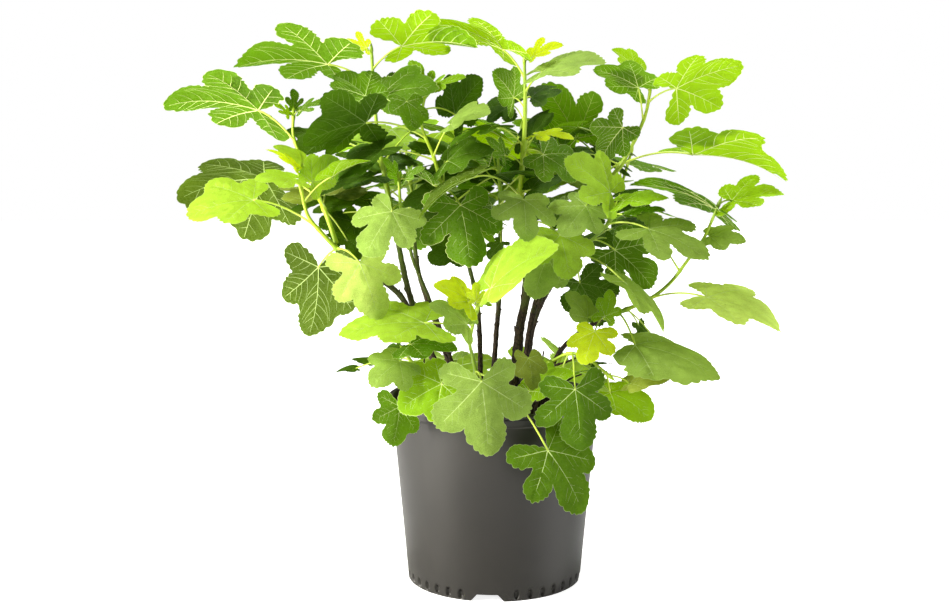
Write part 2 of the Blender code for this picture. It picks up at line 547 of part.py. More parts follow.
def stalk_path(leaf):
    """The leaf stalk rises from its node, bends over and runs a little way under the blade."""
    node, knuckle = leaf["node"], leaf["knuckle"]
    reach = (knuckle - node).length
    bend = node.lerp(knuckle, 0.5) + Vector((0, 0, leaf["rise"] * reach))
    steps = STALK_STEPS
    while any(meets_rim(point) for point in arc(node, bend, knuckle, RIM_STEPS)):
        bend.z += BEND_STEP
        steps = RIM_STEPS
    return arc(node, bend, knuckle, steps)


def stalk_shape(leaf, extra=0.0):
    path = stalk_path(leaf)
    return tube(path, [STALK_HALF * STALK_ROOM + extra] * len(path), 4)


def as_tree(shape):
    points, faces = shape
    return BVHTree.FromPolygons(points, faces)


class Crowd:
    """Everything placed so far, each with its mass and its kind, to keep the next leaf clear of it."""

    def __init__(self):
        self.things = []

    def add(self, shape, mass, kind):
        self.things.append((as_tree(shape), middle_of(shape[0]), spread_of(shape[0]), mass, kind))

    def blocked(self, shape, mass, ignored):
        tree, middle, spread = as_tree(shape), middle_of(shape[0]), spread_of(shape[0])
        for other, other_middle, other_spread, other_mass, kind in self.things:
            if other_mass == mass and kind in ignored:
                continue
            if (middle - other_middle).length < spread + other_spread and tree.overlap(other):
                return True
        return False


def middle_of(points):
    return sum(points, Vector()) / len(points)


def spread_of(points):
    middle = middle_of(points)
    return max((point - middle).length for point in points)


def shown_leaves(mass):
    """The leaves of the table, as dictionaries with their points in centimetres."""
    path = shoot_path(mass)
    for share, knuckle, tip, front, lean, turn, fold, form in MASSES[mass][2]:
        place = seen(*knuckle, front)
        yield {
            "share": share,
            "node": along(path, share),
            "knuckle": place,
            "tip": seen(*tip, front + lean),
            "facing": to_eye(place),
            "turn": turn,
            "fold": math.radians(fold),
            "form": form,
            "rise": STALK_RISE,
        }


def seen_place(point):
    """Where a point shows in the front view: across and up."""
    forward = Vector((0, math.cos(EYE_TILT), -math.sin(EYE_TILT)))
    upward = Vector((0, math.sin(EYE_TILT), math.cos(EYE_TILT)))
    away = point - (Vector((SIGHT_ACROSS, 0, SIGHT_HEIGHT)) - forward * EYE_DISTANCE)
    scale = EYE_DISTANCE / away.dot(forward)
    return away.x * scale + SIGHT_ACROSS, away.dot(upward) * scale + SIGHT_UP


def in_space(leaf, space):
    """Whether a leaf by rule stays inside its space, as the front view shows it."""
    lowest, top, fall, left, right = SPACES[space]
    for point in (leaf["knuckle"], leaf["tip"]):
        across, up = seen_place(point)
        if not (lowest < up < top - fall * across**2 and left < across < right):
            return False
    return True


def filling_leaves(mass, dice):
    """Leaves by rule: spread round the shoot, each on a rising stalk, its blade out and a little down."""
    count, first_bearing, last_bearing, space = FILL[mass]
    path = shoot_path(mass)
    for i, attempt in itertools.product(range(count), range(FILL_TRIES)):
        share = FILL_SHARES[0] + (FILL_SHARES[1] - FILL_SHARES[0]) * (i + 0.5) / count
        jitter = dice.uniform(-BEARING_JITTER, BEARING_JITTER)
        turn_share = (i * BEARING_STEP + attempt * BEARING_RETRY + jitter) % 1
        bearing = math.radians(first_bearing + (last_bearing - first_bearing) * turn_share)
        outward = Vector((math.cos(bearing), math.sin(bearing), 0))
        low_climb, high_climb = FILL_CLIMB[space]
        climb = Vector((0, 0, low_climb + (high_climb - low_climb) * share))
        node = along(path, share)
        knuckle = node + (outward + climb).normalized() * dice.uniform(*FILL_STALK)
        drop = Vector((0, 0, dice.uniform(*FILL_DROP[space])))
        tip = knuckle + (outward + drop).normalized() * dice.uniform(*FILL_BLADE)
        yield {
            "place": i,
            "share": share,
            "node": node,
            "knuckle": knuckle,
            "tip": tip,
            "facing": Vector((0, 0, 1)) if space == "crown" else outward,
            "turn": dice.uniform(-FILL_ROLL, FILL_ROLL),
            "fold": math.radians(dice.uniform(*FILL_FOLD)),
            "form": dice.choice((DEEP, BROAD, BROAD)),
            "rise": FILL_RISE,
        }


def settled(leaf, mass, crowd):
    """The leaf moved and turned as little as keeps it clear of all the rest, or None."""
    near_tip = ("shoot",) if leaf["share"] > TOP_LEAVES else ()
    for size, twist, shift in itertools.product(SIZES, TWISTS, SHIFTS):
        moved = dict(leaf)
        moved["knuckle"] = leaf["knuckle"] + leaf["facing"] * shift
        moved["tip"] = leaf["knuckle"].lerp(leaf["tip"], size) + leaf["facing"] * shift
        moved["turn"] = leaf["turn"] + twist
        if crowd.blocked(blade_shape(moved, LEAF_CLEARANCE), mass, near_tip):
            continue
        if not crowd.blocked(stalk_shape(moved, LEAF_CLEARANCE), mass, ("shoot", "stalk")):
            return moved
    return None


def place_leaf(wanted, mass, crowd, leaves, space=None):
    leaf = settled(wanted, mass, crowd)
    if leaf is None or (space and not in_space(leaf, space)):
        return False
    crowd.add(blade_shape(leaf), mass, "blade")
    crowd.add(stalk_shape(leaf), mass, "stalk")
    leaves.append(leaf)
    return True


def placed_leaves(others):
    """Each mass's leaves, clear of one another and of the other shapes."""
    crowd = Crowd()
    for shape in others:
        crowd.add(shape, None, "limb")
    for mass in MASSES:
        crowd.add(shoot_shape(mass), mass, "shoot")
    leaves = {mass: [] for mass in MASSES}
    dice = random.Random(SEED)
    for mass in MASSES:
        for wanted in shown_leaves(mass):
            place_leaf(wanted, mass, crowd, leaves[mass])
    for mass in FILL:
        filled = set()
        for wanted in filling_leaves(mass, dice):
            if wanted["place"] not in filled and in_space(wanted, FILL[mass][3]):
                if place_leaf(wanted, mass, crowd, leaves[mass], FILL[mass][3]):
                    filled.add(wanted["place"])
    return leaves


def keep_largest_piece(mesh):
    """Drops any loose scrap that a union leaves."""
    shape = bmesh.new()
    shape.from_mesh(mesh)
    left = set(shape.verts)
    islands = []
    while left:
        found = {left.pop()}
        edge = list(found)
        while edge:
            for link in edge.pop().link_edges:
                for vert in link.verts:
                    if vert in left:
                        left.discard(vert)
                        found.add(vert)
                        edge.append(vert)
        islands.append(found)
    islands.sort(key=len)
    for scrap in islands[:-1]:
        bmesh.ops.delete(shape, geom=list(scrap), context="VERTS")
    shape.to_mesh(mesh)
    shape.free()


def build_mass(mass, leaves, finish):
    """The shoot with its stalks and blades, joined by one union."""
    obj = mesh_object(mass, shoot_shape(mass), finish)
    pieces = bpy.data.collections.new(mass + "_pieces")
    bpy.context.scene.collection.children.link(pieces)
    for leaf in leaves:
        mesh_object(mass + "_leaf", leaf_shape(leaf), finish, pieces)
    union = obj.modifiers.new("union", "BOOLEAN")
    union.operation = "UNION"
    union.solver = "MANIFOLD"
    union.operand_type = "COLLECTION"
    union.collection = pieces
    bpy.context.view_layer.update()
    joined = bpy.data.meshes.new_from_object(obj.evaluated_get(bpy.context.evaluated_depsgraph_get()))
    obj.modifiers.remove(union)
    obj.data = joined
    joined.name = mass
    for piece in list(pieces.objects):
        bpy.data.objects.remove(piece, do_unlink=True)
    bpy.data.collections.remove(pieces)
    keep_largest_piece(joined)
    return obj


def wall_radius(height):
    return FOOT_RADIUS + WALL_SLOPE * height


def turned(profile, sides):
    """A closed solid from a profile of (radius, height) that starts and ends on the axis."""
    points = []
    rings = []
    for radius, height in profile:
        if radius == 0:
            rings.append([len(points)])
            points.append(Vector((0, 0, height)))
            continue
        rings.append(list(range(len(points), len(points) + sides)))
        for side in range(sides):
            angle = 2 * math.pi * side / sides
            points.append(Vector((radius * math.cos(angle), radius * math.sin(angle), height)))
    faces = []
    for low, high in zip(rings, rings[1:]):
        for side in range(sides):
            after = (side + 1) % sides
            lower = (low[side % len(low)], low[after % len(low)])
            upper = (high[after % len(high)], high[side % len(high)])
            faces.append(tuple(dict.fromkeys(lower + upper)))
    return points, faces


def pot_profile():
    """From the middle of the underside out, up the wall, over the lip and down inside to the floor."""
    band = POT_HEIGHT - BAND_DROP
    under_lip = POT_HEIGHT - LIP_DEPTH
    return (
        (0, 0),
        (FOOT_RADIUS - FOOT_ROUND, 0),
        (FOOT_RADIUS, FOOT_ROUND),
        (wall_radius(band), band),
        (wall_radius(band) + BAND_PROUD, band + BAND_PROUD),
        (wall_radius(under_lip) + BAND_PROUD, under_lip),
        (LIP_RADIUS, under_lip + LIP_BEVEL),
        (LIP_RADIUS, POT_HEIGHT - LIP_BEVEL),
        (LIP_RADIUS - LIP_BEVEL, POT_HEIGHT),
        (wall_radius(POT_HEIGHT) - WALL + INNER_BEVEL[0], POT_HEIGHT),
        (wall_radius(POT_HEIGHT) - WALL, POT_HEIGHT - INNER_BEVEL[1]),
        (wall_radius(FLOOR) - WALL, FLOOR),
        (0, FLOOR),
    )


def notch_cutter(finish):
    """The wedge that cuts the shallow drain notch in the front of the foot."""
    low, high = (width / 2 for width in NOTCH_WIDTHS)
    inner = -(FOOT_RADIUS - NOTCH_DEPTH)
    points = []
    outline = ((-low, -CUTTER_BELOW), (low, -CUTTER_BELOW), (high, NOTCH_HEIGHT), (-high, NOTCH_HEIGHT))
    for y in (inner, inner - CUTTER_BEYOND):
        for x, z in outline:
            points.append(Vector((NOTCH_ACROSS + x, y, z)))
    faces = ((3, 2, 1, 0), (4, 5, 6, 7), (5, 4, 0, 1), (6, 5, 1, 2), (7, 6, 2, 3), (4, 7, 3, 0))
    cutter = mesh_object("notch_cutter", (points, faces), finish)
    cutter.hide_render = True
    cutter.display_type = "WIRE"
    return cutter


def build_pot():
    finish = material("pot")
    pot = mesh_object("pot", turned(pot_profile(), POT_SIDES), finish)
    pot.data.shade_smooth()
    pot.data.set_sharp_from_angle(angle=SHARP_ANGLE)
    cut = pot.modifiers.new("notch", "BOOLEAN")
    cut.operation = "DIFFERENCE"
    cut.object = notch_cutter(finish)


def build_soil():
    radius_low = wall_radius(FLOOR) - WALL - GAP
    radius_high = wall_radius(SOIL_TOP) - WALL - GAP
    profile = ((0, FLOOR + GAP), (radius_low, FLOOR + GAP), (radius_high, SOIL_TOP), (0, SOIL_TOP))
    mesh_object("soil", turned(profile, POT_SIDES), material("soil"))


def build_stems():
    finish = material("stem")
    for name in STEMS:
        stem = mesh_object(name, stem_shape(name), finish)
        stem.data.shade_smooth()


def build_foliage():
    finish = material("leaf")
    others = [stem_shape(name) for name in STEMS]
    others.append(turned(pot_profile(), POT_SIDES))
    for mass, leaves in placed_leaves(others).items():
        build_mass(mass, leaves, finish)


for blade_form in FORMS:
    blade_form["outline"] = coarse_outline(blade_form)
clear_scene()
build_pot()
build_soil()
build_stems()
build_foliage()
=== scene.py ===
"""The finished look of the potted fig tree: pot, soil, woody stems, green shoots, stalks, blades and veins.

All sizes are in centimetres until a piece is made. The tables give places as they are seen from the front:
across from the pot's axis, up from its foot, and how far in front of the axis.
"""

import itertools
import math
import random

import bpy
import numpy as np
from mathutils import Matrix, Vector, noise
from mathutils.bvhtree import BVHTree
from mathutils.geometry import delaunay_2d_cdt


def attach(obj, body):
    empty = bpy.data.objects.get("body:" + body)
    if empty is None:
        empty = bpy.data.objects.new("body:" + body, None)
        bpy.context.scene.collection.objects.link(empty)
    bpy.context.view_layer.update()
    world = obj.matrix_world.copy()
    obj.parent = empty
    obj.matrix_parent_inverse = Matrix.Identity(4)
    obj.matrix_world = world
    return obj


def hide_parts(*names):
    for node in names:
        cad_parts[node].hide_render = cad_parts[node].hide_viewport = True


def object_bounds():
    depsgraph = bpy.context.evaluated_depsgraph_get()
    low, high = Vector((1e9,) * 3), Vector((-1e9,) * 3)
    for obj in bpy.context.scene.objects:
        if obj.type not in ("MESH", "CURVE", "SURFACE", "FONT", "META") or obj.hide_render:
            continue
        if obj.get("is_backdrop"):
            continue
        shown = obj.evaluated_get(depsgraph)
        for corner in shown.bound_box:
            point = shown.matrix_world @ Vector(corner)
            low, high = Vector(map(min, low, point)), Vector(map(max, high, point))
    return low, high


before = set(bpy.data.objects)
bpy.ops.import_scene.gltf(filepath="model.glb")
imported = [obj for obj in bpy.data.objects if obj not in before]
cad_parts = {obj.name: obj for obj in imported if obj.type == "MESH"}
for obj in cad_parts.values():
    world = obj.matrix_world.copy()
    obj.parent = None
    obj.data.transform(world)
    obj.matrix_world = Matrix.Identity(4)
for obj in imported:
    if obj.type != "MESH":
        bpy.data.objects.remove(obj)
cad_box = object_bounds()

CM = 0.01
GAP = 0.03

# The front view that the tables are read in, and the camera that shows it
EYE_DISTANCE = 190.0
EYE_TILT = math.radians(7.6)
SIGHT_ACROSS = -2.6
SIGHT_UP = 34.5
SIGHT_HEIGHT = 35.7
IMAGE_WIDTH = 949
PIXELS_PER_CM = 7.8
FILM_WIDTH = 36.0

# The pot
POT_HEIGHT = 24.0
FOOT_RADIUS = 11.2
WALL_SLOPE = 0.09
WALL = 0.25
LIP_RADIUS = 13.8
LIP_DEPTH = 0.5
LIP_BEVEL = 0.12
INNER_BEVEL = (0.05, 0.1)
BAND_DROP = 1.7
BAND_PROUD = 0.12
FLOOR = 0.6
FOOT_ROUND = 0.25
POT_SIDES = 48
SOIL_TOP = 22.3

# Fine detail of the pot: small dents round the foot, four drain notches, the hollow under the base, and how
# finely its profile is stepped
FINE_POT_SIDES = 640
DENTS = 40
DENT_MIDDLE = 0.78
DENT_HALF_SIZES = (0.30, 0.55)
DENT_DEPTH = 0.38
DENT_SOFTNESS = 0.7
DENTED_SHELL = (0.2, 2)
NOTCH_TURN = -0.09
NOTCH_HALF_WIDTHS = (2.1, 1.3)
NOTCH_HEIGHT = 0.9
BASE_HOLLOW = 0.9
BASE_RIM = 0.5
FOOT_RINGS = 18
FOOT_RING_STEP = 1 / 12
WALL_RINGS = 15
WALL_FIRST = 2.4
LIP_STEPS = 12
LIP_ROUND = 0.34

# The foliage, as the source has it
LEAF_THICKNESS = 0.16
LEAF_CLEARANCE = 0.05
STALK_HALF = 0.12
STALK_ROOM = 1.2
STALK_RISE = 0.18
BEND_STEP = 0.5
SHOOT_SIDES = 5
SHOOT_TIP_RADIUS = 0.18
TOP_LEAVES = 0.9
RIM_ROOM = 0.7
RIM_BELOW = 3.0
STALK_STEPS = 2
RIM_STEPS = 6
LOWEST_NODE = 0.5
STEM_SIDES = 7
PATH_STEPS = 2

# Blade outlines for a midrib of 1. Each lobe has its angle from the midrib, its length and its half angle as
# seen from the knuckle, and the body is how far the blade reaches between the lobes.
DEEP = {"lobes": ((0, 1.0, 25), (52, 0.84, 20.5), (108, 0.60, 26)), "body": 0.45}
BROAD = {"lobes": ((0, 1.0, 27.5), (51, 0.84, 23.5), (106, 0.62, 29)), "body": 0.55}
YOUNG = {"lobes": ((0, 1.0, 19), (43, 0.72, 17), (98, 0.42, 22)), "body": 0.34}
WHOLE = {"lobes": ((0, 1.0, 40), (56, 0.72, 34), (104, 0.42, 34)), "body": 0.52}
FORMS = (DEEP, BROAD, YOUNG, WHOLE)

# A lobe's reach falls off from its tip over its shoulders to its foot, by shares of its half angle
LOBE_SHARES = (0, 0.3, 0.6, 0.85, 1.0, 1.16, 1.5)
LOBE_REACHES = (1.0, 0.96, 0.89, 0.82, 0.72, 0.42, 0.0)
OUTLINE_ANGLES = (7, 21, 29, 45, 61, 82, 118)
YOUNG_ANGLES = (10, 26, 43, 72, 115)
OUTLINE_BLEND = 10
BODY_BACK = 0.34
ARCH = 0.07
SIDE_DROOP = 0.16

# The side of a blade that counts as its upper one is the one that leans this way
UPPER_SIDE = Vector((0.3, 0, 1))

# Each stem: where it starts (None at the soil), its way up as (across, up, front), its radius at both ends
STEMS = {
    "stem_left_high": (None, ((-5.0, 22.3, 2), (-8.3, 28.5, 1.5), (-11, 36, 0),
                              (-12.7, 44, -1.5)), 0.48, 0.33),
    "stem_left": ("stem_left_high", ((-9.6, 31, 1.2), (-11.8, 35.2, 3), (-14, 37.3, 4), (-16.9, 39.4, 5),
                                     (-19.9, 41.3, 5.5)), 0.38, 0.30),
    "stem_left_centre": (None, ((-3.2, 22.3, 5), (-6.4, 29.7, 5.5), (-8.3, 35, 6), (-10.4, 40, 6.5),
                                (-11.1, 42.8, 6.5)), 0.26, 0.20),
    "stem_centre_left": (None, ((-1.8, 22.3, 3), (-1.9, 29.4, 3), (-2.2, 34.4, 3), (-3.2, 39, 3.2),
                                (-4.6, 43.2, 3)), 0.34, 0.24),
    "stem_centre": (None, ((-0.4, 22.3, -1), (0.1, 29.4, -1), (0.6, 36.4, -2), (0.7, 44.5, -3)), 0.36, 0.28),
    "stem_centre_high": (None, ((2.2, 22.3, 1), (3.2, 31.3, 0.5), (4.1, 36.4, 0),
                                (3.6, 42.6, -0.5)), 0.72, 0.42),
    "stem_right_high": (None, ((3.6, 22.3, -2), (4.6, 32, -2.5), (7.4, 40.9, -3), (10.6, 44.7, -3.5),
                               (14.2, 50.2, -4)), 0.42, 0.28),
    "stem_right_front": ("stem_right_high", ((5.6, 34.5, -2.4), (7.0, 37.5, 0.5),
                                             (9.8, 40.3, 2.5)), 0.26, 0.20),
    "stem_right": (None, ((5.4, 22.3, 2), (7.6, 27.2, 2), (10.2, 30.4, 2), (13.8, 32.7, 2.5)), 0.34, 0.26),
    "stem_front": (None, ((-1.7, 22.3, 9.6), (-2.3, 25.2, 10)), 0.30, 0.26),
    "stem_front_left": (None, ((-6.4, 22.3, 6), (-7.9, 25.4, 7)), 0.24, 0.20),
    "stem_front_right": (None, ((5.2, 22.3, 5), (6.8, 26.9, 5.5)), 0.26, 0.22),
    "stem_back_left": (None, ((-4.2, 22.3, -4), (-7.2, 31, -8), (-9.6, 38, -12),
                              (-10.4, 43, -14)), 0.40, 0.28),
    "stem_back": (None, ((2.4, 22.3, -5.5), (3.3, 31, -10), (3.9, 39, -14), (3.4, 43, -15)), 0.42, 0.28),
    "stem_back_right": (None, ((4.0, 22.3, -5.5), (5.0, 32, -8), (8.4, 38.5, -11),
                               (12.6, 42, -12.5)), 0.38, 0.27),
    "stem_back_low_left": (None, ((-5.5, 22.3, -7), (-6.6, 25.4, -9)), 0.24, 0.20),
    "stem_back_low_right": (None, ((6.4, 22.3, -7.5), (7.4, 25.4, -9.5)), 0.24, 0.20),
}

# Each mass: the stem it grows on, its shoot's way on from there, and its leaves that show from the front.
# A leaf is (place along the shoot, knuckle, tip, front, lean, turn, fold, form). The knuckle joins stalk and
# blade, and lean is how far the tip comes forward of it. Turn is 0 where the upper side faces the eye, 90
# where it faces up, and 180 where the underside faces the eye. Fold is how far each half rises from flat.
# Both are in degrees.
# The last column is the leaf's tone, given for how lit or shaded the leaf shows: painted light and shade
MASSES = {
    "foliage_left_high": ("stem_left_high", ((-14.4, 52.4, -2), (-15.3, 59, -2), (-15.8, 67, -2)), (
        (0.80, (-21.4, 65.3), (-33.5, 65.1), -1, 2, 114, 12, DEEP, "mid"),
        (0.90, (-11.9, 67.6), (-2.2, 67.6), -1, 2, 118, 18, DEEP, "bright"),
        (0.97, (-16.4, 67.4), (-19.6, 68), -2, 0, 140, 15, YOUNG, "sunny"),
        (0.72, (-16.6, 61.2), (-20.6, 64), 1, 3, 130, 15, BROAD, "deep"),
        (0.68, (-14.6, 61.3), (-7.1, 62.2), 1.5, 2, 55, 4, BROAD, "mid"),
        (0.37, (-20.6, 55.6), (-24.6, 53.7), -3, -5, 125, 15, BROAD, "dark"),
        (0.35, (-13.0, 52.6), (-10.4, 53.2), -4, -3, 60, 4, BROAD, "dark"),
        (0.27, (-15.6, 50.9), (-22.7, 48.1), 0, 1, 75, 4, DEEP, "dark"),
        (0.10, (-16.6, 47.9), (-26.8, 46.5), 0, -1, 80, 4, DEEP, "dark"),
        (0.02, (-19.6, 46.2), (-20.1, 42.0), -6, 1, 25, -8, BROAD, "dark"),
        (0.06, (-18.2, 45.1), (-17.9, 40.0), -7, 1, 30, 4, BROAD, "dark"),
        (0.75, (-13.1, 60.6), (-13.1, 64.4), -6, 0, 40, 4, BROAD, "dark"))),
    "foliage_left": ("stem_left", ((-22.3, 43.8, 6), (-24, 46, 6.5), (-24.9, 49.6, 6.5)), (
        (0.40, (-31.0, 47.9), (-39.6, 45.6), 7, 2, 58, 8, BROAD, "light"),
        (0.90, (-25.6, 50.6), (-30.8, 50.4), 8, 2, 72, 4, BROAD, "light"),
        (1.00, (-25.4, 52.0), (-29.4, 54.4), 7, 0, 75, 4, YOUNG, "sunny"),
        (1.00, (-24.7, 52.6), (-28.4, 55.0), 4, -1, 70, 8, BROAD, "light"),
        (0.95, (-23.4, 50.2), (-20.1, 53.3), 4.5, -1, 140, 10, BROAD, "light"),
        (0.80, (-20.8, 50.9), (-16.0, 52.9), 7.5, 1, 100, 15, BROAD, "bright"),
        (0.02, (-22.6, 39.3), (-23.7, 30.4), 4, 1, 150, 12, BROAD, "moss"),
        (0.04, (-17.3, 39.8), (-14.9, 32.6), 10, 2, 15, -12, DEEP, "pale"))),
    "foliage_left_outer": ("stem_left", ((-21.6, 46, 3.5), (-22.9, 49, 1), (-24.6, 52.8, -1), (-25.8, 56, -2),
                                         (-25.8, 59.2, -2)), (
        (0.80, (-30.3, 59.4), (-42.6, 60.3), -2, 1, 118, 8, DEEP, "mid"),
        (1.00, (-25.8, 59.6), (-25.8, 62.2), -2, 0, 30, 4, YOUNG, "mid"),
        (0.97, (-25.0, 59.3), (-21.4, 60.5), -2, 0, 70, 4, YOUNG, "mid"),
        (0.97, (-26.4, 58.8), (-28.4, 60.3), -1, 0, 60, 4, YOUNG, "bright"),
        (0.35, (-29.5, 50.6), (-40.6, 48.4), -5, -1, 132, -16, BROAD, "moss"))),
    "foliage_left_centre": ("stem_left_centre", ((-12.0, 46.5, 7), (-12.3, 50.5, 7)), (
        (0.60, (-13.2, 46.4), (-16.7, 40.5), 10, 2, 22, -12, DEEP, "grey"),
        (1.00, (-12.5, 50.8), (-14.4, 53.2), 7, 1, 50, 4, YOUNG, "mid"),
        (1.00, (-11.6, 50.6), (-9.0, 52.0), 7, 1, 60, 4, YOUNG, "mid"))),
    "foliage_centre_left": ("stem_centre_left", ((-6.5, 48.6, 3), (-7.8, 53.3, 3), (-9.4, 57.5, 2.5),
                                                 (-9, 61.2, 2)), (
        (0.71, (-16.5, 57.8), (-24.6, 54.9), 5, 3, 128, 15, DEEP, "dark"),
        (1.00, (-9.2, 61.8), (-10.8, 66.0), 2, 0, 150, 15, YOUNG, "bright"),
        (1.00, (-8.4, 61.8), (-3.6, 63.7), 3, 1, 70, 4, YOUNG, "bright"),
        (0.90, (-11.3, 60.5), (-10.5, 56.7), 5, 2, 30, 4, BROAD, "mid"),
        (0.57, (-5.6, 57.6), (-0.6, 59.2), 6, 3, 72, 10, BROAD, "grey"),
        (0.90, (-5.1, 58.8), (-1.5, 63.6), -1, -2, 140, 15, BROAD, "dark"),
        (0.45, (-6.0, 52.9), (-0.3, 54.3), 2, 2, 60, 4, BROAD, "deep"),
        (0.35, (-7.9, 49.8), (-12.4, 51.7), 5, 1, 100, 15, YOUNG, "mid"),
        (0.30, (-7.6, 48.6), (-11.8, 47.6), 1, -2, 60, 4, BROAD, "dark"),
        (0.10, (-6.9, 45.6), (-10.0, 42.8), 1, 1, 45, 4, BROAD, "dark"),
        (0.02, (-5.3, 41.6), (-8.2, 39.6), 4, 3, 30, 4, BROAD, "dark"),
        (0.35, (-4.4, 47.2), (-3.1, 39.2), 8, 2, 15, -12, DEEP, "mid"))),
    "foliage_centre": ("stem_centre_high", ((3.3, 48.6, -0.5), (3.7, 54.4, -1), (3.9, 60, -1),
                                            (3.8, 65.6, -1)), (
        (0.91, (1.0, 67.2), (-8.6, 70.6), -1, 2, 102, 6, DEEP, "bright"),
        (1.00, (4.8, 66.2), (8.8, 67.8), -1, 0, 120, 15, YOUNG, "sunny"),
        (0.83, (6.1, 64.3), (14.3, 65.5), 1, 1, 78, 6, BROAD, "grey"),
        (0.74, (2.4, 61.0), (-0.3, 64.4), -3, -2, 140, 15, BROAD, "mid"),
        (0.78, (4.6, 61.0), (7.6, 62.7), -4, -3, 60, 4, BROAD, "dark"),
        (0.66, (2.1, 60.0), (-1.5, 59.5), -5, -3, 50, 4, BROAD, "dark"),
        (0.53, (-0.3, 57.3), (-5.8, 54.7), 4, 2, 78, 4, DEEP, "deep"),
        (0.50, (4.6, 55.9), (6.4, 59.6), -4, -3, 60, 4, BROAD, "dark"),
        (0.45, (5.2, 56.2), (10.2, 55.6), 3, 2, 74, 4, YOUNG, "sunny"),
        (0.42, (1.3, 53.6), (-1.2, 55.8), 3, 1, 45, 4, YOUNG, "mid"),
        (0.50, (6.2, 53.7), (10.6, 50.3), 3, 1, 40, 4, BROAD, "mid"),
        (0.25, (4.6, 49.2), (9.2, 50.6), 1.5, 1, 62, 4, BROAD, "dark"),
        (0.25, (-2.8, 50.8), (-9.9, 45.4), 10, 1, 84, 14, BROAD, "moss"),
        (0.04, (6.8, 40.6), (5.0, 35.1), 5, 1, 30, 4, BROAD, "grey"),
        (0.10, (8.4, 43.4), (9.7, 37.7), 8, 2, 12, -8, BROAD, "light"))),
    "foliage_centre_low": ("stem_centre", ((0.7, 48.5, -3), (0.4, 53.5, -3.5)), (
        (0.30, (3.7, 47.9), (4.0, 42.6), 6, 3, 15, -8, DEEP, "grey"),
        (0.80, (-1.9, 51.2), (2.6, 50.2), -5, -1, 70, 4, BROAD, "dark"),
        (0.02, (0.8, 42.5), (-0.8, 40.2), 0, 1, 30, 4, YOUNG, "dark"))),
    "foliage_right_high": ("stem_right_high", ((16.4, 52.7, -4), (19.1, 58.2, -3.5), (20, 62.3, -3)), (
        (0.68, (18.4, 62.3), (12.6, 64.5), -2, 1, 120, 10, BROAD, "mid"),
        (0.95, (17.9, 64.9), (15.0, 67.2), -3, 0, 122, 12, BROAD, "bright"),
        (0.86, (23.3, 62.2), (31.8, 65.0), -2, 2, 134, -12, DEEP, "bright"),
        (0.22, (25.4, 53.7), (37.7, 50.5), -3, 1, 100, 22, BROAD, "bright"),
        (0.05, (10.5, 55.8), (6.2, 62.9), -7, 0, 158, 6, DEEP, "mid"),
        (0.50, (16.4, 57.2), (13.6, 53.1), -1, 1, 150, 15, BROAD, "mid"),
        (0.15, (15.6, 52.4), (9.0, 54.4), -6, -1, 82, 4, BROAD, "dark"),
        (0.03, (11.7, 47.1), (8.7, 43.3), 5, 3, 15, -8, DEEP, "grey"))),
    "foliage_right_front": ("stem_right_front", ((12.9, 43.2, 4), (14.6, 44.9, 5), (16, 47.3, 5.5)), (
        (0.85, (14.8, 48.9), (8.8, 53.1), 7, 1, 48, 4, DEEP, "light"),
        (1.00, (16.6, 47.8), (22.4, 48.1), 6, 1, 74, 4, BROAD, "bright"),
        (0.85, (16.4, 46.0), (21.9, 46.5), 6, 2, 80, 4, YOUNG, "mid"),
        (0.70, (19.7, 44.2), (27.4, 40.0), 8, 3, 58, 4, DEEP, "grey"),
        (0.40, (15.4, 41.5), (20.4, 36.7), 4, 1, 150, 15, DEEP, "deep"),
        (0.35, (14.3, 43.0), (17.0, 41.2), 2, 0, 40, 4, YOUNG, "dark"),
        (0.10, (16.5, 37.4), (21.9, 31.2), 6, 1, 80, 4, BROAD, "grey"),
        (0.05, (10.9, 37.3), (13.6, 31.5), 2, 0, 150, 15, DEEP, "dark"))),
    "foliage_right": ("stem_right", ((17.7, 34.2, 3), (20.3, 35.5, 3), (22.6, 37.4, 3.5), (24.6, 40, 3.5),
                                     (26.7, 42.8, 4), (28.7, 47.3, 4)), (
        (1.00, (28.2, 46.8), (17.4, 50.4), 3, -3, 97, 2, BROAD, "mid"),
        (1.00, (30.4, 47.8), (37.2, 48.6), 2, 1, 62, 14, DEEP, "bright"),
        (0.76, (27.6, 43.2), (32.3, 42.4), 5, 1, 60, 4, BROAD, "grey"),
        (0.30, (27.2, 35.4), (36.8, 31.6), 5, 2, 70, 6, BROAD, "pale"),
        (0.10, (18.0, 29.3), (28.9, 25.2), 8, 2, 62, -8, WHOLE, "grey"),
        (0.15, (18.4, 31.9), (19.2, 27.6), 4, 0, 60, 4, YOUNG, "dark"),
        (0.15, (21.4, 28.3), (23.4, 25.0), 2, 1, 40, 4, YOUNG, "dark"),
        (0.02, (11.9, 32.8), (9.0, 36.0), 5, 0, 50, 4, BROAD, "grey"),
        (0.03, (14.1, 33.0), (14.9, 36.4), 4, -1, 40, 4, DEEP, "bright"),
        (0.01, (12.8, 31.0), (11.4, 26.7), 9, 2, 10, -8, DEEP, "sunny"))),
    "foliage_front": ("stem_front", ((-2.8, 27.7, 10), (-3.2, 30, 10), (-2.2, 34.1, 9)), (
        (1.00, (-3.3, 34.9), (-7.8, 37.1), 10, 1, 55, 4, BROAD, "sunny"),
        (1.00, (-1.9, 34.8), (0.4, 34.9), 7.5, -1, 50, 4, YOUNG, "bright"),
        (0.97, (-2.4, 34.9), (-2.4, 37.4), 9, 0, 20, -8, YOUNG, "sunny"),
        (0.70, (-3.6, 32.0), (-8.3, 34.7), 11.5, 1, 55, 4, BROAD, "grey"),
        (0.60, (-9.0, 32.1), (-20.1, 30.3), 12, 1, 66, 6, BROAD, "light"),
        (0.95, (-0.5, 36.6), (8.1, 42.0), 12, 1, 66, 10, WHOLE, "light"),
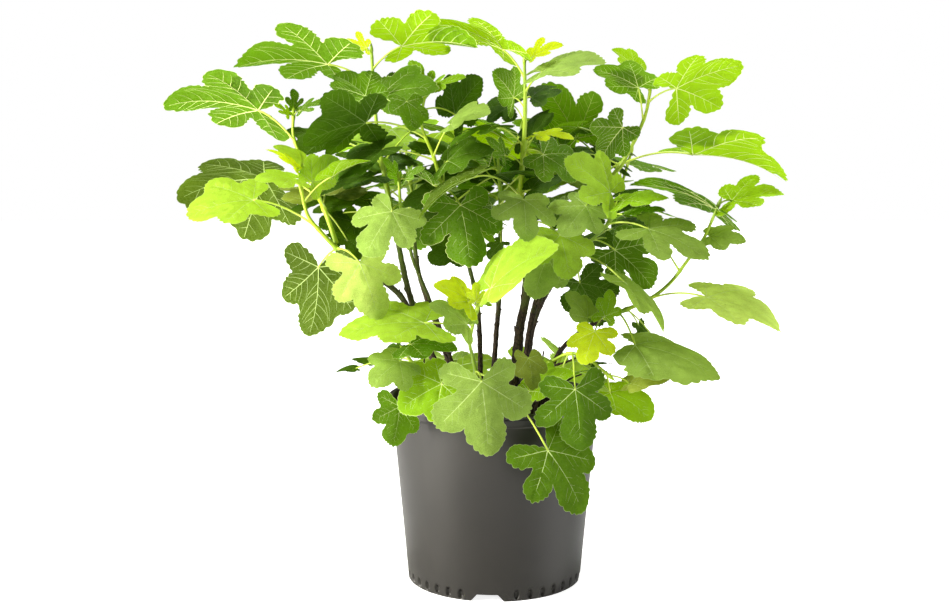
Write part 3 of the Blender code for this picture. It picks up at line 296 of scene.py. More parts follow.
        (0.03, (-1.7, 24.6), (-0.9, 15.1), 16.5, 1, 14, -12, DEEP, "grey"),
        (0.01, (6.8, 15.8), (11.4, 7.9), 15.2, 0.5, 30, -8, DEEP, "deep"))),
    "foliage_front_left": ("stem_front_left", ((-10.3, 26.8, 8), (-11.6, 28.5, 9)), (
        (0.80, (-12.2, 27.2), (-15.9, 24.1), 12, 3, 25, -8, BROAD, "grey"),
        (0.60, (-17.8, 26.3), (-20.5, 25.8), 8, 0, 74, 4, WHOLE, "dark"),
        (0.70, (-15.9, 27.1), (-18.3, 27.5), 6, -1, 70, 4, WHOLE, "dark"),
        (1.00, (-10.8, 29.4), (-4.8, 28.6), 12, 1, 58, 4, BROAD, "mid"),
        (0.20, (-11.2, 23.7), (-10.9, 21.7), 9, 0.5, 20, 4, DEEP, "bright"),
        (0.25, (-12.2, 21.4), (-13.2, 16.3), 10, 1, 25, -8, BROAD, "mid"),
        (0.05, (-6.8, 24.3), (-12.3, 21.0), 12.5, 0.5, 25, 4, BROAD, "bright"),
        (1.00, (-12.0, 28.9), (-13.8, 29.2), 7, -1, 50, 4, YOUNG, "dark"))),
    "foliage_front_right": ("stem_front_right", ((9.5, 28.2, 7), (12, 27.5, 8.5), (14.6, 25.4, 10)), (
        (0.40, (10.3, 23.6), (11.0, 15.8), 13, 1, 14, -12, DEEP, "deep"),
        (0.03, (4.4, 23.4), (10.0, 25.9), 9.5, 1, 58, 4, BROAD, "bright"),
        (0.35, (8.2, 24.8), (13.1, 26.0), 7, 0, 82, 4, YOUNG, "mid"),
        (0.05, (4.3, 27.6), (4.8, 23.6), 7.5, 1, 40, 4, BROAD, "olive"),
        (0.60, (12.4, 26.7), (15.2, 26.9), 6, -1, 78, 4, YOUNG, "dark"),
        (1.00, (17.3, 24.4), (22.8, 25.0), 10, 1, 64, 6, WHOLE, "olive"),
        (0.95, (14.8, 23.2), (20.3, 19.8), 11, 2, 55, 4, WHOLE, "bright"))),
    "foliage_back_left": ("stem_back_left", ((-10.5, 48, -16), (-11.5, 55, -18)), ()),
    "foliage_back": ("stem_back", ((3.0, 48, -17), (3.4, 57, -19)), ()),
    "foliage_back_right": ("stem_back_right", ((15, 46, -14), (17.5, 54, -16)), ()),
    "foliage_back_low_left": ("stem_back_low_left", ((-7.4, 26.6, -11), (-7.8, 27.4, -12.6)), ()),
    "foliage_back_low_right": ("stem_back_low_right", ((8.0, 26.6, -11.5), (8.4, 27.4, -13)), ()),
}

# Bare twigs near the soil, each as a few places on its way
TWIGS = (
    ((5.6, 23.4, 3), (5.9, 26.2, 2.6), (6.3, 28.6, 2.2)),
    ((7.3, 26.6, 2), (9.6, 27.3, 3), (11.6, 28.4, 3.4), (12.2, 30.2, 3.2)),
    ((7.6, 23.2, 4), (9.4, 24.8, 4), (11.2, 25.6, 3.6)),
    ((-8.4, 23.0, -1), (-9.2, 25.6, -1.4), (-9.0, 27.6, -1.2)),
    ((-3.2, 23.0, 1), (-5.0, 26.2, 0.4), (-7.2, 29.2, 0)),
    ((-6.0, 23.2, -3), (-3.6, 24.8, -3.4), (-1.9, 25.2, -3)),
)

# A second shoot on the same stem starts beside the first
SIDE_SHOOTS = ("foliage_left_outer",)
SIDE_START = 3.6

# Leaves by rule, which fill the back and the inside: how many a mass gets, the bearings that they spread over
# (0 to the right, 90 to the back, 180 to the left), and the space that they keep to
FILL = {
    "foliage_left_high": (3, 60, 200, "crown"),
    "foliage_left": (2, 150, 230, "crown"),
    "foliage_left_outer": (3, 70, 200, "crown"),
    "foliage_centre_left": (2, 60, 160, "crown"),
    "foliage_centre": (3, 50, 140, "crown"),
    "foliage_centre_low": (3, 60, 130, "crown"),
    "foliage_right_high": (3, 40, 180, "crown"),
    "foliage_right": (2, 70, 170, "crown"),
    "foliage_back_left": (8, 40, 260, "crown"),
    "foliage_back": (8, -20, 200, "crown"),
    "foliage_back_right": (9, -60, 140, "crown"),
    "foliage_back_low_left": (4, 70, 240, "rim"),
    "foliage_back_low_right": (4, -60, 110, "rim"),
}

# Smaller leaves that only the finished look has, by the same rule and in the same spaces
MORE = {
    "foliage_left_high": (5, 0, 190, "crown"),
    "foliage_left_outer": (3, -60, 60, "crown"),
    "foliage_centre_left": (5, 0, 200, "crown"),
    "foliage_centre": (5, -10, 190, "crown"),
    "foliage_centre_low": (5, 0, 200, "crown"),
    "foliage_right_high": (5, 60, 200, "crown"),
    "foliage_right_front": (3, 20, 160, "crown"),
    "foliage_right": (3, 60, 180, "crown"),
    "foliage_back_left": (4, -60, 60, "crown"),
    "foliage_back_right": (4, 120, 240, "crown"),
}
# The smaller leaves take the darker tones, as painted shade for the inside of the crown
MORE_TONES = ("dark", "deep", "dark", "moss")
MORE_BLADE = (5.0, 8.0)
FILL_SHARES = (0.12, 0.97)
FILL_STALK = (4.5, 7.5)
FILL_BLADE = (8.0, 11.5)
FILL_DROP = {"crown": (-0.75, 0.1), "rim": (-2.4, -0.9)}
FILL_CLIMB = {"crown": (0.25, 0.75), "rim": (-0.1, 0.1)}
FILL_ROLL = 28
FILL_FOLD = (-8, 14)
FILL_TRIES = 5
FILL_RISE = 0.1
BEARING_STEP = 0.618
BEARING_RETRY = 0.21
BEARING_JITTER = 0.08
SEED = 11

# The tones of the leaves by rule, by how high the knuckle is: this high or more, and the tones in turn
# The tones by height paint in how light falls: backlit bright tones high in the crown, and grey and pale
# tones with a painted sheen low down
FILL_TONES = (
    (52, ("mid", "bright", "deep", "light", "mid")),
    (38, ("deep", "mid", "grey", "light", "deep", "olive")),
    (0, ("light", "grey", "mid", "pale")),
)

# The spaces as the front view shows them: lowest, highest at the middle, how the top falls off, and the
# furthest to the left and to the right
SPACES = {"crown": (41.0, 59.0, 0.011, -28.0, 20.0), "rim": (10.0, 28.0, 0.0, -13.0, 13.0)}

# Ways that a leaf may give way, tried in turn: its size, how much more it turns, and how far it moves along
# the line that it faces
SIZES = (1.0, 0.86, 0.72)
SHIFTS = (0, 1, -1, 2, -2, 3, -3, 4.5, -4.5, 6, -6)
TWISTS = (0, 14, -14, 28, -28)

# The fine blade, as shares of its length: where the outline closes behind the knuckle, how the lobes vary,
# the scallops of its edge, the pale edge, the mesh, and the folds and swellings of its surface
BACK_ANGLE = math.radians(152)
BACK_TAPER = math.radians(16)
BACK_LEAST = 0.03
LOBE_TURN = 5.0
LOBE_LENGTHS = (0.91, 1.05)
LOBE_WIDTHS = (0.92, 1.12)
OUTLINE_SAMPLES = 900
RIM_SPACING = 0.021
RIM_ROUNDING = 5
SCALLOP_PITCH = 0.105
SCALLOP_HEIGHT = 0.029
SCALLOP_DRIFTS = (1.6, 0.5)
SCALLOP_WAVES = (5.3, 13.7, 7.7, 9.1)
SCALLOP_MEAN = 0.6
SCALLOP_STRENGTHS = (0.75, 0.45)
UNEVENNESS = 0.5
SCALLOP_FADE = 0.15
EDGE_WIDTH = 0.004
MESH_SPACING = 0.042
MESH_CLEAR = 0.6
MESH_ROW_PITCH = 0.87
SWELL = 0.012
SWELL_WIDTH = 0.022
WAVE = 0.024
WAVE_TURNS = (3, 7)
CURL = (-0.01, 0.08)
TWIST = 0.16
FOLD_SOFTNESS = 0.03

# The veins, as shares of the blade's length: half widths at both ends, how proud they stand under and over
# the blade, where the side veins leave the main ones and at what angle, and how near they come to the edge
MAIN_HALF = (0.0085, 0.0022)
SIDE_HALF = (0.0030, 0.0010)
UNDERSIDE_TURN = 84
VEIN_UNDER = 0.9
VEIN_OVER = 0.35
SIDE_FIRST = 0.17
SIDE_PITCH = 0.125
SIDE_JITTER = 0.018
SIDE_LAST = 0.9
SIDE_ANGLE = math.radians(56)
SIDE_BEND = 0.85
SIDE_STEPS = 4
SIDE_FURTHEST = 0.6
SIDE_LEAST = 5
SIDE_REACH = 0.93
SIDE_SAMPLES = 30
SIDE_ANGLES_VARY = (0.85, 1.12)
MAIN_STEPS = 9
MAIN_STRENGTH = (0.6, 0.4)

# Stalks, shoots and stems
STALK_RADIUS = 0.13
STALK_PLACES = (0, 0.08, 0.2, 0.9, 1)
STALK_SWELLING = (1.5, 1.25, 1, 0.9, 1.05)
STALK_LEAST = 0.55
STALK_FULL_BLADE = 22
STALK_SIDES = 8
FINE_STALK_STEPS = 10
FINE_PATH_STEPS = 9
SHOOT_FINE_SIDES = 12
NODE_SWELL = 0.22
NODE_WIDTH = 0.35
BUD_PLACES = (0, 0.15, 0.4, 0.7, 0.9, 1)
BUD_SWELLING = (0.7, 1, 0.95, 0.6, 0.25, 0.03)
BUD_SIZE = (0.17, 0.45)
BUD_SIDES = 6
BUD_LIFT = 1.2
TIP_BUD_SIZE = (0.24, 1.3)
TIP_BUD_SIDES = 10
TIP_BUD_SUNK = 0.2
BARK_SIDES = 20
BARK_STEP = 0.3
BARK_RELIEF = 0.09
ROUGH_SCALES = (2.6, 2.6, 0.9)
ROUGH_SHARE = 1.3
FINE_SCALE = 6.5
FINE_SHARE = 0.8
STEM_FLARE = 0.3
FLARE_HEIGHT = 0.9
RING_PITCH = 2.7
RING_SWELL = 0.1
RING_SHARPNESS = 8
LEAST_RINGS = 6
SCAR_SWELL = 0.34
SCAR_STRENGTHS = (0.4, 1)
SCAR_WIDTH = 0.28
SCAR_TURN = 2.4
SCAR_FIRST = RING_PITCH * 0.6
SCAR_PITCH = RING_PITCH * 0.8
STUB_SIZE = (0.15, 0.4)
STUB_SIDES = 7
STUB_OUT = 0.75
STUB_RISES = (0.3, 1.0)
STUB_LENGTHS = (0.6, 1.4)
TWIG_RADII = (0.17, 0.09)
TWIG_KNOTS = (0.22, 1.9)

# Soil: the disc's mesh, how rough it is, and the bits that lie on it as (count, least size, greatest size)
SOIL_RINGS = 46
SOIL_SPOKES = 150
SOIL_ROUGH = 0.5
BARK_CHIPS = (1500, 0.10, 0.42)
PALE_BITS = (210, 0.07, 0.2)
BIT_TILT = 0.5
BIT_WIDTHS = (0.35, 0.9)
BIT_HEIGHTS = (0.2, 0.6)
BIT_SHAKE = 0.3
SOIL_SEED = 5
# Each layer of the soil's roughness: its share, its scale, and where it is read
SOIL_LAYERS = ((0.5, 0.35, 0), (0.35, 1.7, 4), (0.2, 5, 8))


def paint(red, green, blue):
    """A colour given as 0 to 255, as the linear values that a shader takes."""
    values = []
    for value in (red, green, blue):
        share = value / 255
        values.append(share / 12.92 if share <= 0.04045 else ((share + 0.055) / 1.055) ** 2.4)
    return tuple(values)


# Leaf tones: the colour of the blade, the colour of light that comes through it, its main veins, and how
# clearly its side veins and its fine net of veins stand out
# Besides the leaves' own greens, the tones hold painted light and shade: sunny, bright and light are
# lighter copies for leaves with light on or through them, pale and grey hold a painted sheen on the upper
# side, and dark is a darker copy for leaves in shade
TONES = {
    "bright": (paint(118, 160, 16), paint(158, 200, 8), "veins_bright", 0.85, 0.08),
    "sunny": (paint(182, 210, 30), paint(222, 238, 24), "veins_bright", 0.5, 0.05),
    "light": (paint(150, 186, 54), paint(160, 196, 36), "veins_pale", 0.6, 0.05),
    "mid": (paint(84, 124, 16), paint(100, 146, 6), "veins_bright", 0.85, 0.12),
    "deep": (paint(74, 110, 14), paint(92, 130, 6), "veins_pale", 0.5, 0.05),
    "dark": (paint(52, 82, 6), paint(64, 98, 2), "veins_dim", 0.5, 0.05),
    "pale": (paint(176, 204, 96), paint(178, 208, 76), "veins_pale", 0.5, 0.05),
    "grey": (paint(134, 162, 72), paint(132, 162, 44), "veins_pale", 0.5, 0.05),
    "olive": (paint(128, 142, 56), paint(132, 148, 36), "veins_pale", 0.5, 0.05),
    "moss": (paint(62, 84, 12), paint(84, 108, 10), "veins_pale", 0.6, 0.12),
}
# The vein colours are lit and shaded copies too: veins_bright goes with the sunny, bright and mid tones as
# painted light, and veins_dim with the dark tone as painted shade
VEIN_COLOURS = {
    "veins_bright": paint(226, 236, 150),
    "veins_pale": paint(184, 206, 120),
    "veins_dim": paint(104, 132, 52),
}

# The leaf's surface: how many cells of felt and of the net of veins a metre has, how dark and light the
# mottling is, how light and how clear the felt's lines are, and how much light comes through
FELT_CELLS = 600
NET_CELLS = 240
MOTTLING = (0.66, 1.28)
FELT_LINES = (1.9, 0.45)
THROUGH_SHARE = 0.45
# A blade's faces take its leaf finish, and its side veins and its edge take the second one
PALE_FINISH = 1

STALK_COLOURS = (paint(150, 180, 40), paint(205, 222, 90))
SHOOT_COLOURS = (paint(96, 132, 24), paint(178, 204, 40))

# The studio: how strong each light is, how much the white floor glows, and how far it reaches in metres
WORLD_LIGHT = 0.22
BACK_LIGHT = 4.4
FRONT_LIGHT = 115
WARM = (1.0, 0.97, 0.88)
STRIP_LIGHTS = (55, 16)
FLOOR_SEEN = 0.85
FLOOR_GLOW = 0.12
FLOOR_REACH = 6.0


EYE_FORWARD = Vector((0, math.cos(EYE_TILT), -math.sin(EYE_TILT)))
EYE_UPWARD = Vector((0, math.sin(EYE_TILT), math.cos(EYE_TILT)))
EYE = Vector((SIGHT_ACROSS, 0, SIGHT_HEIGHT)) - EYE_FORWARD * EYE_DISTANCE


def seen(across, up, front):
    """The point, in centimetres, that shows at this place in the front view and lies this far in front."""
    ray = EYE_FORWARD * EYE_DISTANCE + EYE_UPWARD * (up - SIGHT_UP) + Vector((across - SIGHT_ACROSS, 0, 0))
    return EYE + ray * ((-front - EYE.y) / ray.y)


def smooth_path(points, steps):
    """Points along one smooth curve through the given ones."""
    ends = [points[0] * 2 - points[1], *points, points[-1] * 2 - points[-2]]
    path = []
    for before, start, end, after in zip(ends, ends[1:], ends[2:], ends[3:]):
        for step in range(steps):
            t = step / steps
            path.append(
                (start * 2 + (end - before) * t + (before * 2 - start * 5 + end * 4 - after) * t**2
                 + (start * 3 - before - end * 3 + after) * t**3) / 2
            )
    return [*path, points[-1]]


def tube(path, radii, sides, first_direction=None):
    """A closed tapering tube along a path. A first direction of straight up gives it a level cut."""
    points = []
    across = None
    for i, (place, radius) in enumerate(zip(path, radii)):
        direction = (path[min(i + 1, len(path) - 1)] - path[max(i - 1, 0)]).normalized()
        if i == 0 and first_direction:
            direction = first_direction
        if across is None:
            across = direction.orthogonal()
        across = (across - direction * across.dot(direction)).normalized()
        beside = direction.cross(across)
        for side in range(sides):
            angle = 2 * math.pi * side / sides
            points.append(place + (across * math.cos(angle) + beside * math.sin(angle)) * radius)
    faces = [tuple(range(sides))[::-1], tuple(range(len(points) - sides, len(points)))]
    for ring in range(len(path) - 1):
        for side in range(sides):
            a, b = ring * sides + side, ring * sides + (side + 1) % sides
            faces.append((a, b, b + sides, a + sides))
    return points, faces


def tapering(count, first, last):
    return [first + (last - first) * i / (count - 1) for i in range(count)]


def stem_path(name, steps=PATH_STEPS, clear=True):
    """A stem's smooth path, from just above the soil or clear of the side of the stem that bears it."""
    parent, places, base_radius, _ = STEMS[name]
    points = [seen(*place) for place in places]
    if parent is None:
        points[0] = Vector((points[0].x, points[0].y, SOIL_TOP + GAP))
    elif clear:
        room = STEMS[parent][2] + base_radius
        points[0] = points[0] + (points[1] - points[0]).normalized() * room
    return smooth_path(points, steps)


def stem_shape(name):
    parent, _, base_radius, tip_radius = STEMS[name]
    path = stem_path(name)
    level = Vector((0, 0, 1)) if parent is None else None
    return tube(path, tapering(len(path), base_radius, tip_radius), STEM_SIDES, level)


def shoot_path(name, steps=PATH_STEPS):
    """The green shoot of a mass: on from its stem's tip, with a small gap."""
    stem, places, _ = MASSES[name]
    end = stem_path(stem)[-1]
    points = [seen(*place) for place in places]
    start = end + stem_end_direction(stem) * GAP
    if name in SIDE_SHOOTS:
        start = start + (points[0] - end).normalized() * SIDE_START * STEMS[stem][3]
    return smooth_path([start, *points], steps)


def stem_end_direction(stem):
    path = stem_path(stem)
    return (path[-1] - path[-2]).normalized()


def shoot_shape(name):
    """The shoot's lower end is parallel to its stem's upper end, so that they meet face to face."""
    stem = MASSES[name][0]
    path = shoot_path(name)
    direction = None if name in SIDE_SHOOTS else stem_end_direction(stem)
    return tube(path, tapering(len(path), STEMS[stem][3], SHOOT_TIP_RADIUS), SHOOT_SIDES, direction)


def along(path, share):
    """The point that lies this share of the way along a path, but clear of its lower end."""
    lengths = [(b - a).length for a, b in zip(path, path[1:])]
    left = max(share * sum(lengths), LOWEST_NODE)
    for start, end, length in zip(path, path[1:], lengths):
        if left <= length:
            return start.lerp(end, left / length)
        left -= length
    return path[-1].copy()


def plain_lobes(form):
    """A form's lobes on both sides of the midrib, as (angle, length, half angle) in radians."""
    lobes = []
    for angle, length, half_angle in form["lobes"]:
        for side in ((1,) if angle == 0 else (1, -1)):
            lobes.append((side * math.radians(angle), length, math.radians(half_angle)))
    return lobes


def reach_at(angles, lobes, body):
    """How far a blade reaches from its knuckle at these angles from the midrib, for a midrib of 1."""
    total = (body * (1 - BODY_BACK + BODY_BACK * np.cos(angles))) ** OUTLINE_BLEND
    for lobe_angle, length, half_angle in lobes:
        share = np.abs(angles - lobe_angle) / half_angle
        total = total + (length * np.interp(share, LOBE_SHARES, LOBE_REACHES)) ** OUTLINE_BLEND
    return total ** (1 / OUTLINE_BLEND)


def coarse_outline(form):
    """A blade's outline as (angle, reach) on both sides of the midrib."""
    degrees = YOUNG_ANGLES if form is YOUNG else OUTLINE_ANGLES
    angles = np.radians([-angle for angle in degrees[::-1]] + list(degrees))
    return list(zip(angles.tolist(), reach_at(angles, plain_lobes(form), form["body"]).tolist()))


def blade_length(leaf):
    return (leaf["tip"] - leaf["knuckle"]).length


def blade_axes(leaf):
    """The blade's own axes as a matrix: along its midrib, across, and out of its upper side."""
    facing, turn = leaf["facing"], math.radians(leaf["turn"])
    along_blade = (leaf["tip"] - leaf["knuckle"]).normalized()
    towards = (facing - along_blade * facing.dot(along_blade)).normalized()
    upwards = along_blade.cross(towards)
    if upwards.dot(UPPER_SIDE) < 0:
        upwards = -upwards
    normal = towards * math.cos(turn) + upwards * math.sin(turn)
    return Matrix((along_blade, normal.cross(along_blade), normal)).transposed()


def blade_rise(x, y, length, fold):
    """How far the blade stands up here: it arches and folds along the midrib and droops to the sides."""
    return 4 * ARCH * x * (1 - x / length) - SIDE_DROOP * y * y / length + math.tan(fold) * abs(y)


def blade_shape(leaf, extra=0.0):
    """The source's closed blade: a fan from the knuckle over the outline, with the same fan under it."""
    length = blade_length(leaf)
    axes = blade_axes(leaf)
    rim = [Vector((-STALK_HALF, -STALK_HALF, 0))]
    for angle, share in leaf["form"]["outline"]:
        reach = share * length + extra
        x, y = reach * math.cos(angle), reach * math.sin(angle)
        rim.append(Vector((x, y, blade_rise(x, y, length, leaf["fold"]))))
    rim.append(Vector((-STALK_HALF, STALK_HALF, 0)))
    half = LEAF_THICKNESS / 2 + extra
    flat = [Vector((0, 0, 0)), *rim]
    count = len(rim)
    points = [leaf["knuckle"] + axes @ (place + Vector((0, 0, half))) for place in flat]
    points += [leaf["knuckle"] + axes @ (place - Vector((0, 0, half))) for place in flat]
    faces = []
    for i in range(count):
        a, b = 1 + i, 1 + (i + 1) % count
        under_a, under_b = a + count + 1, b + count + 1
        faces.append((0, a, b))
        faces.append((count + 1, under_b, under_a))
        faces.append((a, under_a, under_b, b))
    return points, faces


def arc(start, bend, end, steps):
    shares = [step / steps for step in range(steps + 1)]
    return [start * (1 - t) ** 2 + bend * 2 * t * (1 - t) + end * t**2 for t in shares]


def meets_rim(point):
    """Whether a stalk here would touch the pot's rim, or the soil behind it."""
    beside = abs(point.xy.length - LIP_RADIUS) < RIM_ROOM
    return beside and POT_HEIGHT - RIM_BELOW < point.z < POT_HEIGHT + RIM_ROOM


def stalk_path(leaf, fine_steps=None):
    """The leaf stalk rises from its node, bends over and runs to the blade."""
    node, knuckle = leaf["node"], leaf["knuckle"]
    reach = (knuckle - node).length
    bend = node.lerp(knuckle, 0.5) + Vector((0, 0, leaf["rise"] * reach))
    steps = STALK_STEPS
    while any(meets_rim(point) for point in arc(node, bend, knuckle, RIM_STEPS)):
        bend.z += BEND_STEP
        steps = RIM_STEPS
    return arc(node, bend, knuckle, fine_steps or steps)


def stalk_shape(leaf, extra=0.0):
    path = stalk_path(leaf)
    return tube(path, [STALK_HALF * STALK_ROOM + extra] * len(path), 4)


def as_tree(shape):
    points, faces = shape
    return BVHTree.FromPolygons(points, faces)


class Crowd:
    """Everything placed so far, each with its mass and its kind, to keep the next leaf clear of it."""

    def __init__(self):
        self.things = []

    def add(self, shape, mass, kind):
        self.things.append((as_tree(shape), middle_of(shape[0]), spread_of(shape[0]), mass, kind))

    def blocked(self, shape, mass, ignored):
        tree, middle, spread = as_tree(shape), middle_of(shape[0]), spread_of(shape[0])
        for other, other_middle, other_spread, other_mass, kind in self.things:
            if other_mass == mass and kind in ignored:
                continue
            if (middle - other_middle).length < spread + other_spread and tree.overlap(other):
                return True
        return False


def middle_of(points):
    return sum(points, Vector()) / len(points)


def spread_of(points):
    middle = middle_of(points)
    return max((point - middle).length for point in points)


def shown_leaves(mass):
    """The leaves of the table, as dictionaries with their points in centimetres."""
    path = shoot_path(mass)
    for share, knuckle, tip, front, lean, turn, fold, form, tone in MASSES[mass][2]:
        place = seen(*knuckle, front)
        yield {
            "share": share,
            "node": along(path, share),
            "knuckle": place,
            "tip": seen(*tip, front + lean),
            "facing": (EYE - place).normalized(),
            "turn": turn,
            "fold": math.radians(fold),
            "form": form,
            "rise": STALK_RISE,
            "tone": tone,
        }


def seen_place(point):
    """Where a point shows in the front view: across and up."""
    away = point - EYE
    scale = EYE_DISTANCE / away.dot(EYE_FORWARD)
    return away.x * scale + SIGHT_ACROSS, away.dot(EYE_UPWARD) * scale + SIGHT_UP


def in_space(leaf, space):
    """Whether a leaf by rule stays inside its space, as the front view shows it."""
    lowest, top, fall, left, right = SPACES[space]
    for point in (leaf["knuckle"], leaf["tip"]):
        across, up = seen_place(point)
        if not (lowest < up < top - fall * across**2 and left < across < right):
            return False
    return True


def filling_leaves(mass, rule, blade_lengths, dice):
    """Leaves by rule: spread round the shoot, each on a rising stalk, its blade out and a little down."""
    count, first_bearing, last_bearing, space = rule
    path = shoot_path(mass)
    for i, attempt in itertools.product(range(count), range(FILL_TRIES)):
        share = FILL_SHARES[0] + (FILL_SHARES[1] - FILL_SHARES[0]) * (i + 0.5) / count
        jitter = dice.uniform(-BEARING_JITTER, BEARING_JITTER)
        turn_share = (i * BEARING_STEP + attempt * BEARING_RETRY + jitter) % 1
        bearing = math.radians(first_bearing + (last_bearing - first_bearing) * turn_share)
        outward = Vector((math.cos(bearing), math.sin(bearing), 0))
        low_climb, high_climb = FILL_CLIMB[space]
        climb = Vector((0, 0, low_climb + (high_climb - low_climb) * share))
        node = along(path, share)
        knuckle = node + (outward + climb).normalized() * dice.uniform(*FILL_STALK)
        drop = Vector((0, 0, dice.uniform(*FILL_DROP[space])))
        tip = knuckle + (outward + drop).normalized() * dice.uniform(*blade_lengths)
        yield {
            "place": i,
            "share": share,
            "node": node,
            "knuckle": knuckle,
            "tip": tip,
            "facing": Vector((0, 0, 1)) if space == "crown" else outward,
            "turn": dice.uniform(-FILL_ROLL, FILL_ROLL),
            "fold": math.radians(dice.uniform(*FILL_FOLD)),
            "form": dice.choice((DEEP, BROAD, BROAD)),
            "rise": FILL_RISE,
        }


def settled(leaf, mass, crowd):
    """The leaf moved and turned as little as keeps it clear of all the rest, or None."""
    near_tip = ("shoot",) if leaf["share"] > TOP_LEAVES else ()
    for size, twist, shift in itertools.product(SIZES, TWISTS, SHIFTS):
        moved = dict(leaf)
        moved["knuckle"] = leaf["knuckle"] + leaf["facing"] * shift
        moved["tip"] = leaf["knuckle"].lerp(leaf["tip"], size) + leaf["facing"] * shift
        moved["turn"] = leaf["turn"] + twist
        if crowd.blocked(blade_shape(moved, LEAF_CLEARANCE), mass, near_tip):
            continue
        if not crowd.blocked(stalk_shape(moved, LEAF_CLEARANCE), mass, ("shoot", "stalk")):
            return moved
    return None


def place_leaf(wanted, mass, crowd, leaves, space=None):
    leaf = settled(wanted, mass, crowd)
    if leaf is None or (space and not in_space(leaf, space)):
        return False
    crowd.add(blade_shape(leaf), mass, "blade")
    crowd.add(stalk_shape(leaf), mass, "stalk")
    leaves.append(leaf)
    return True


def placed_leaves(others):
    """Each mass's leaves, clear of one another and of the other shapes, by the source's rule."""
    crowd = Crowd()
    for shape in others:
        crowd.add(shape, None, "limb")
    for mass in MASSES:
        crowd.add(shoot_shape(mass), mass, "shoot")
    leaves = {mass: [] for mass in MASSES}
    dice = random.Random(SEED)
    for mass in MASSES:
        for wanted in shown_leaves(mass):
            place_leaf(wanted, mass, crowd, leaves[mass])
    for mass, rule in FILL.items():
        fill(mass, filling_leaves(mass, rule, FILL_BLADE, dice), rule[3], crowd, leaves[mass])
    for mass, rule in MORE.items():
        more = []
        fill(mass, filling_leaves(mass, rule, MORE_BLADE, dice), rule[3], crowd, more)
        for i, leaf in enumerate(more):
            leaf["tone"] = MORE_TONES[i % len(MORE_TONES)]
        leaves[mass] += more
    return leaves


def fill(mass, wanted_leaves, space, crowd, leaves):
    """One leaf by rule for each place on the shoot, where a try keeps to the space and finds room."""
    filled = set()
    for wanted in wanted_leaves:
        if wanted["place"] not in filled and in_space(wanted, space):
            if place_leaf(wanted, mass, crowd, leaves, space):
                filled.add(wanted["place"])


def wall_radius(height):
    return FOOT_RADIUS + WALL_SLOPE * height


def turned(profile, sides):
    """A closed solid from a profile of (radius, height) that starts and ends on the axis."""
    points = []
    rings = []
    for radius, height in profile:
        if radius == 0:
            rings.append([len(points)])
            points.append(Vector((0, 0, height)))
            continue
        rings.append(list(range(len(points), len(points) + sides)))
        for side in range(sides):
            angle = 2 * math.pi * side / sides
            points.append(Vector((radius * math.cos(angle), radius * math.sin(angle), height)))
    faces = []
    for low, high in zip(rings, rings[1:]):
        for side in range(sides):
            after = (side + 1) % sides
            lower = (low[side % len(low)], low[after % len(low)])
            upper = (high[after % len(high)], high[side % len(high)])
            faces.append(tuple(dict.fromkeys(lower + upper)))
    return points, faces


def pot_profile():
    """From the middle of the underside out, up the wall, over the lip and down inside to the floor."""
    band = POT_HEIGHT - BAND_DROP
    under_lip = POT_HEIGHT - LIP_DEPTH
    return (
        (0, 0),
        (FOOT_RADIUS - FOOT_ROUND, 0),
        (FOOT_RADIUS, FOOT_ROUND),
        (wall_radius(band), band),
        (wall_radius(band) + BAND_PROUD, band + BAND_PROUD),
        (wall_radius(under_lip) + BAND_PROUD, under_lip),
        (LIP_RADIUS, under_lip + LIP_BEVEL),
        (LIP_RADIUS, POT_HEIGHT - LIP_BEVEL),
        (LIP_RADIUS - LIP_BEVEL, POT_HEIGHT),
        (wall_radius(POT_HEIGHT) - WALL + INNER_BEVEL[0], POT_HEIGHT),
        (wall_radius(POT_HEIGHT) - WALL, POT_HEIGHT - INNER_BEVEL[1]),
        (wall_radius(FLOOR) - WALL, FLOOR),
        (0, FLOOR),
    )


def put_in_scene(name, data):
    obj = bpy.data.objects.new(name, data)
    bpy.context.scene.collection.objects.link(obj)
    return obj


class Heap:
    """Many small shapes gathered for one joined piece. Points are in centimetres."""

    def __init__(self):
        self.points = []
        self.faces = {3: [], 4: []}
        self.finishes = {3: [], 4: []}
        self.count = 0
        self.masses = set()

    def add(self, points, faces, finish=0):
        """Faces is an array with three or four corners a row, and finish one number or one for each face."""
        faces = np.asarray(faces, int)
        corners = faces.shape[1]
        self.points.append(np.asarray(points, float))
        self.faces[corners].append(faces + self.count)
        self.finishes[corners].append(np.broadcast_to(finish, len(faces)))
        self.count += len(points)

    def add_limb(self, points, sides):
        """A tube's rings of points, with its far end closed by a fan."""
        rings = len(points) // sides
        self.add(points, ring_faces(rings, sides))
        first = self.count - sides
        self.points.append(points[-sides:].mean(axis=0, keepdims=True))
        side = np.arange(sides)
        fan = np.stack((first + side, first + (side + 1) % sides, np.full(sides, self.count)), axis=1)
        self.faces[3].append(fan)
        self.finishes[3].append(np.zeros(sides, int))
        self.count += 1

    def piece(self, name, materials):
        points = np.concatenate(self.points) * CM
        corners = [np.concatenate(found).ravel() for found in self.faces.values() if found]
        sizes = np.concatenate([np.full(sum(map(len, found)), size) for size, found in self.faces.items()])
        finishes = np.concatenate([part for size in self.faces for part in self.finishes[size]])
        mesh = bpy.data.meshes.new(name)
        mesh.vertices.add(len(points))
        mesh.vertices.foreach_set("co", points.ravel())
        mesh.loops.add(int(sizes.sum()))
        mesh.loops.foreach_set("vertex_index", np.concatenate(corners))
        mesh.polygons.add(len(sizes))
        mesh.polygons.foreach_set("loop_start", np.concatenate(([0], sizes.cumsum()[:-1])))
        mesh.polygons.foreach_set("material_index", finishes)
        mesh.update(calc_edges=True)
        mesh.validate()
        mesh.shade_smooth()
        for material in materials:
            mesh.materials.append(material)
        obj = put_in_scene(name, mesh)
        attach(obj, "root")
        return obj


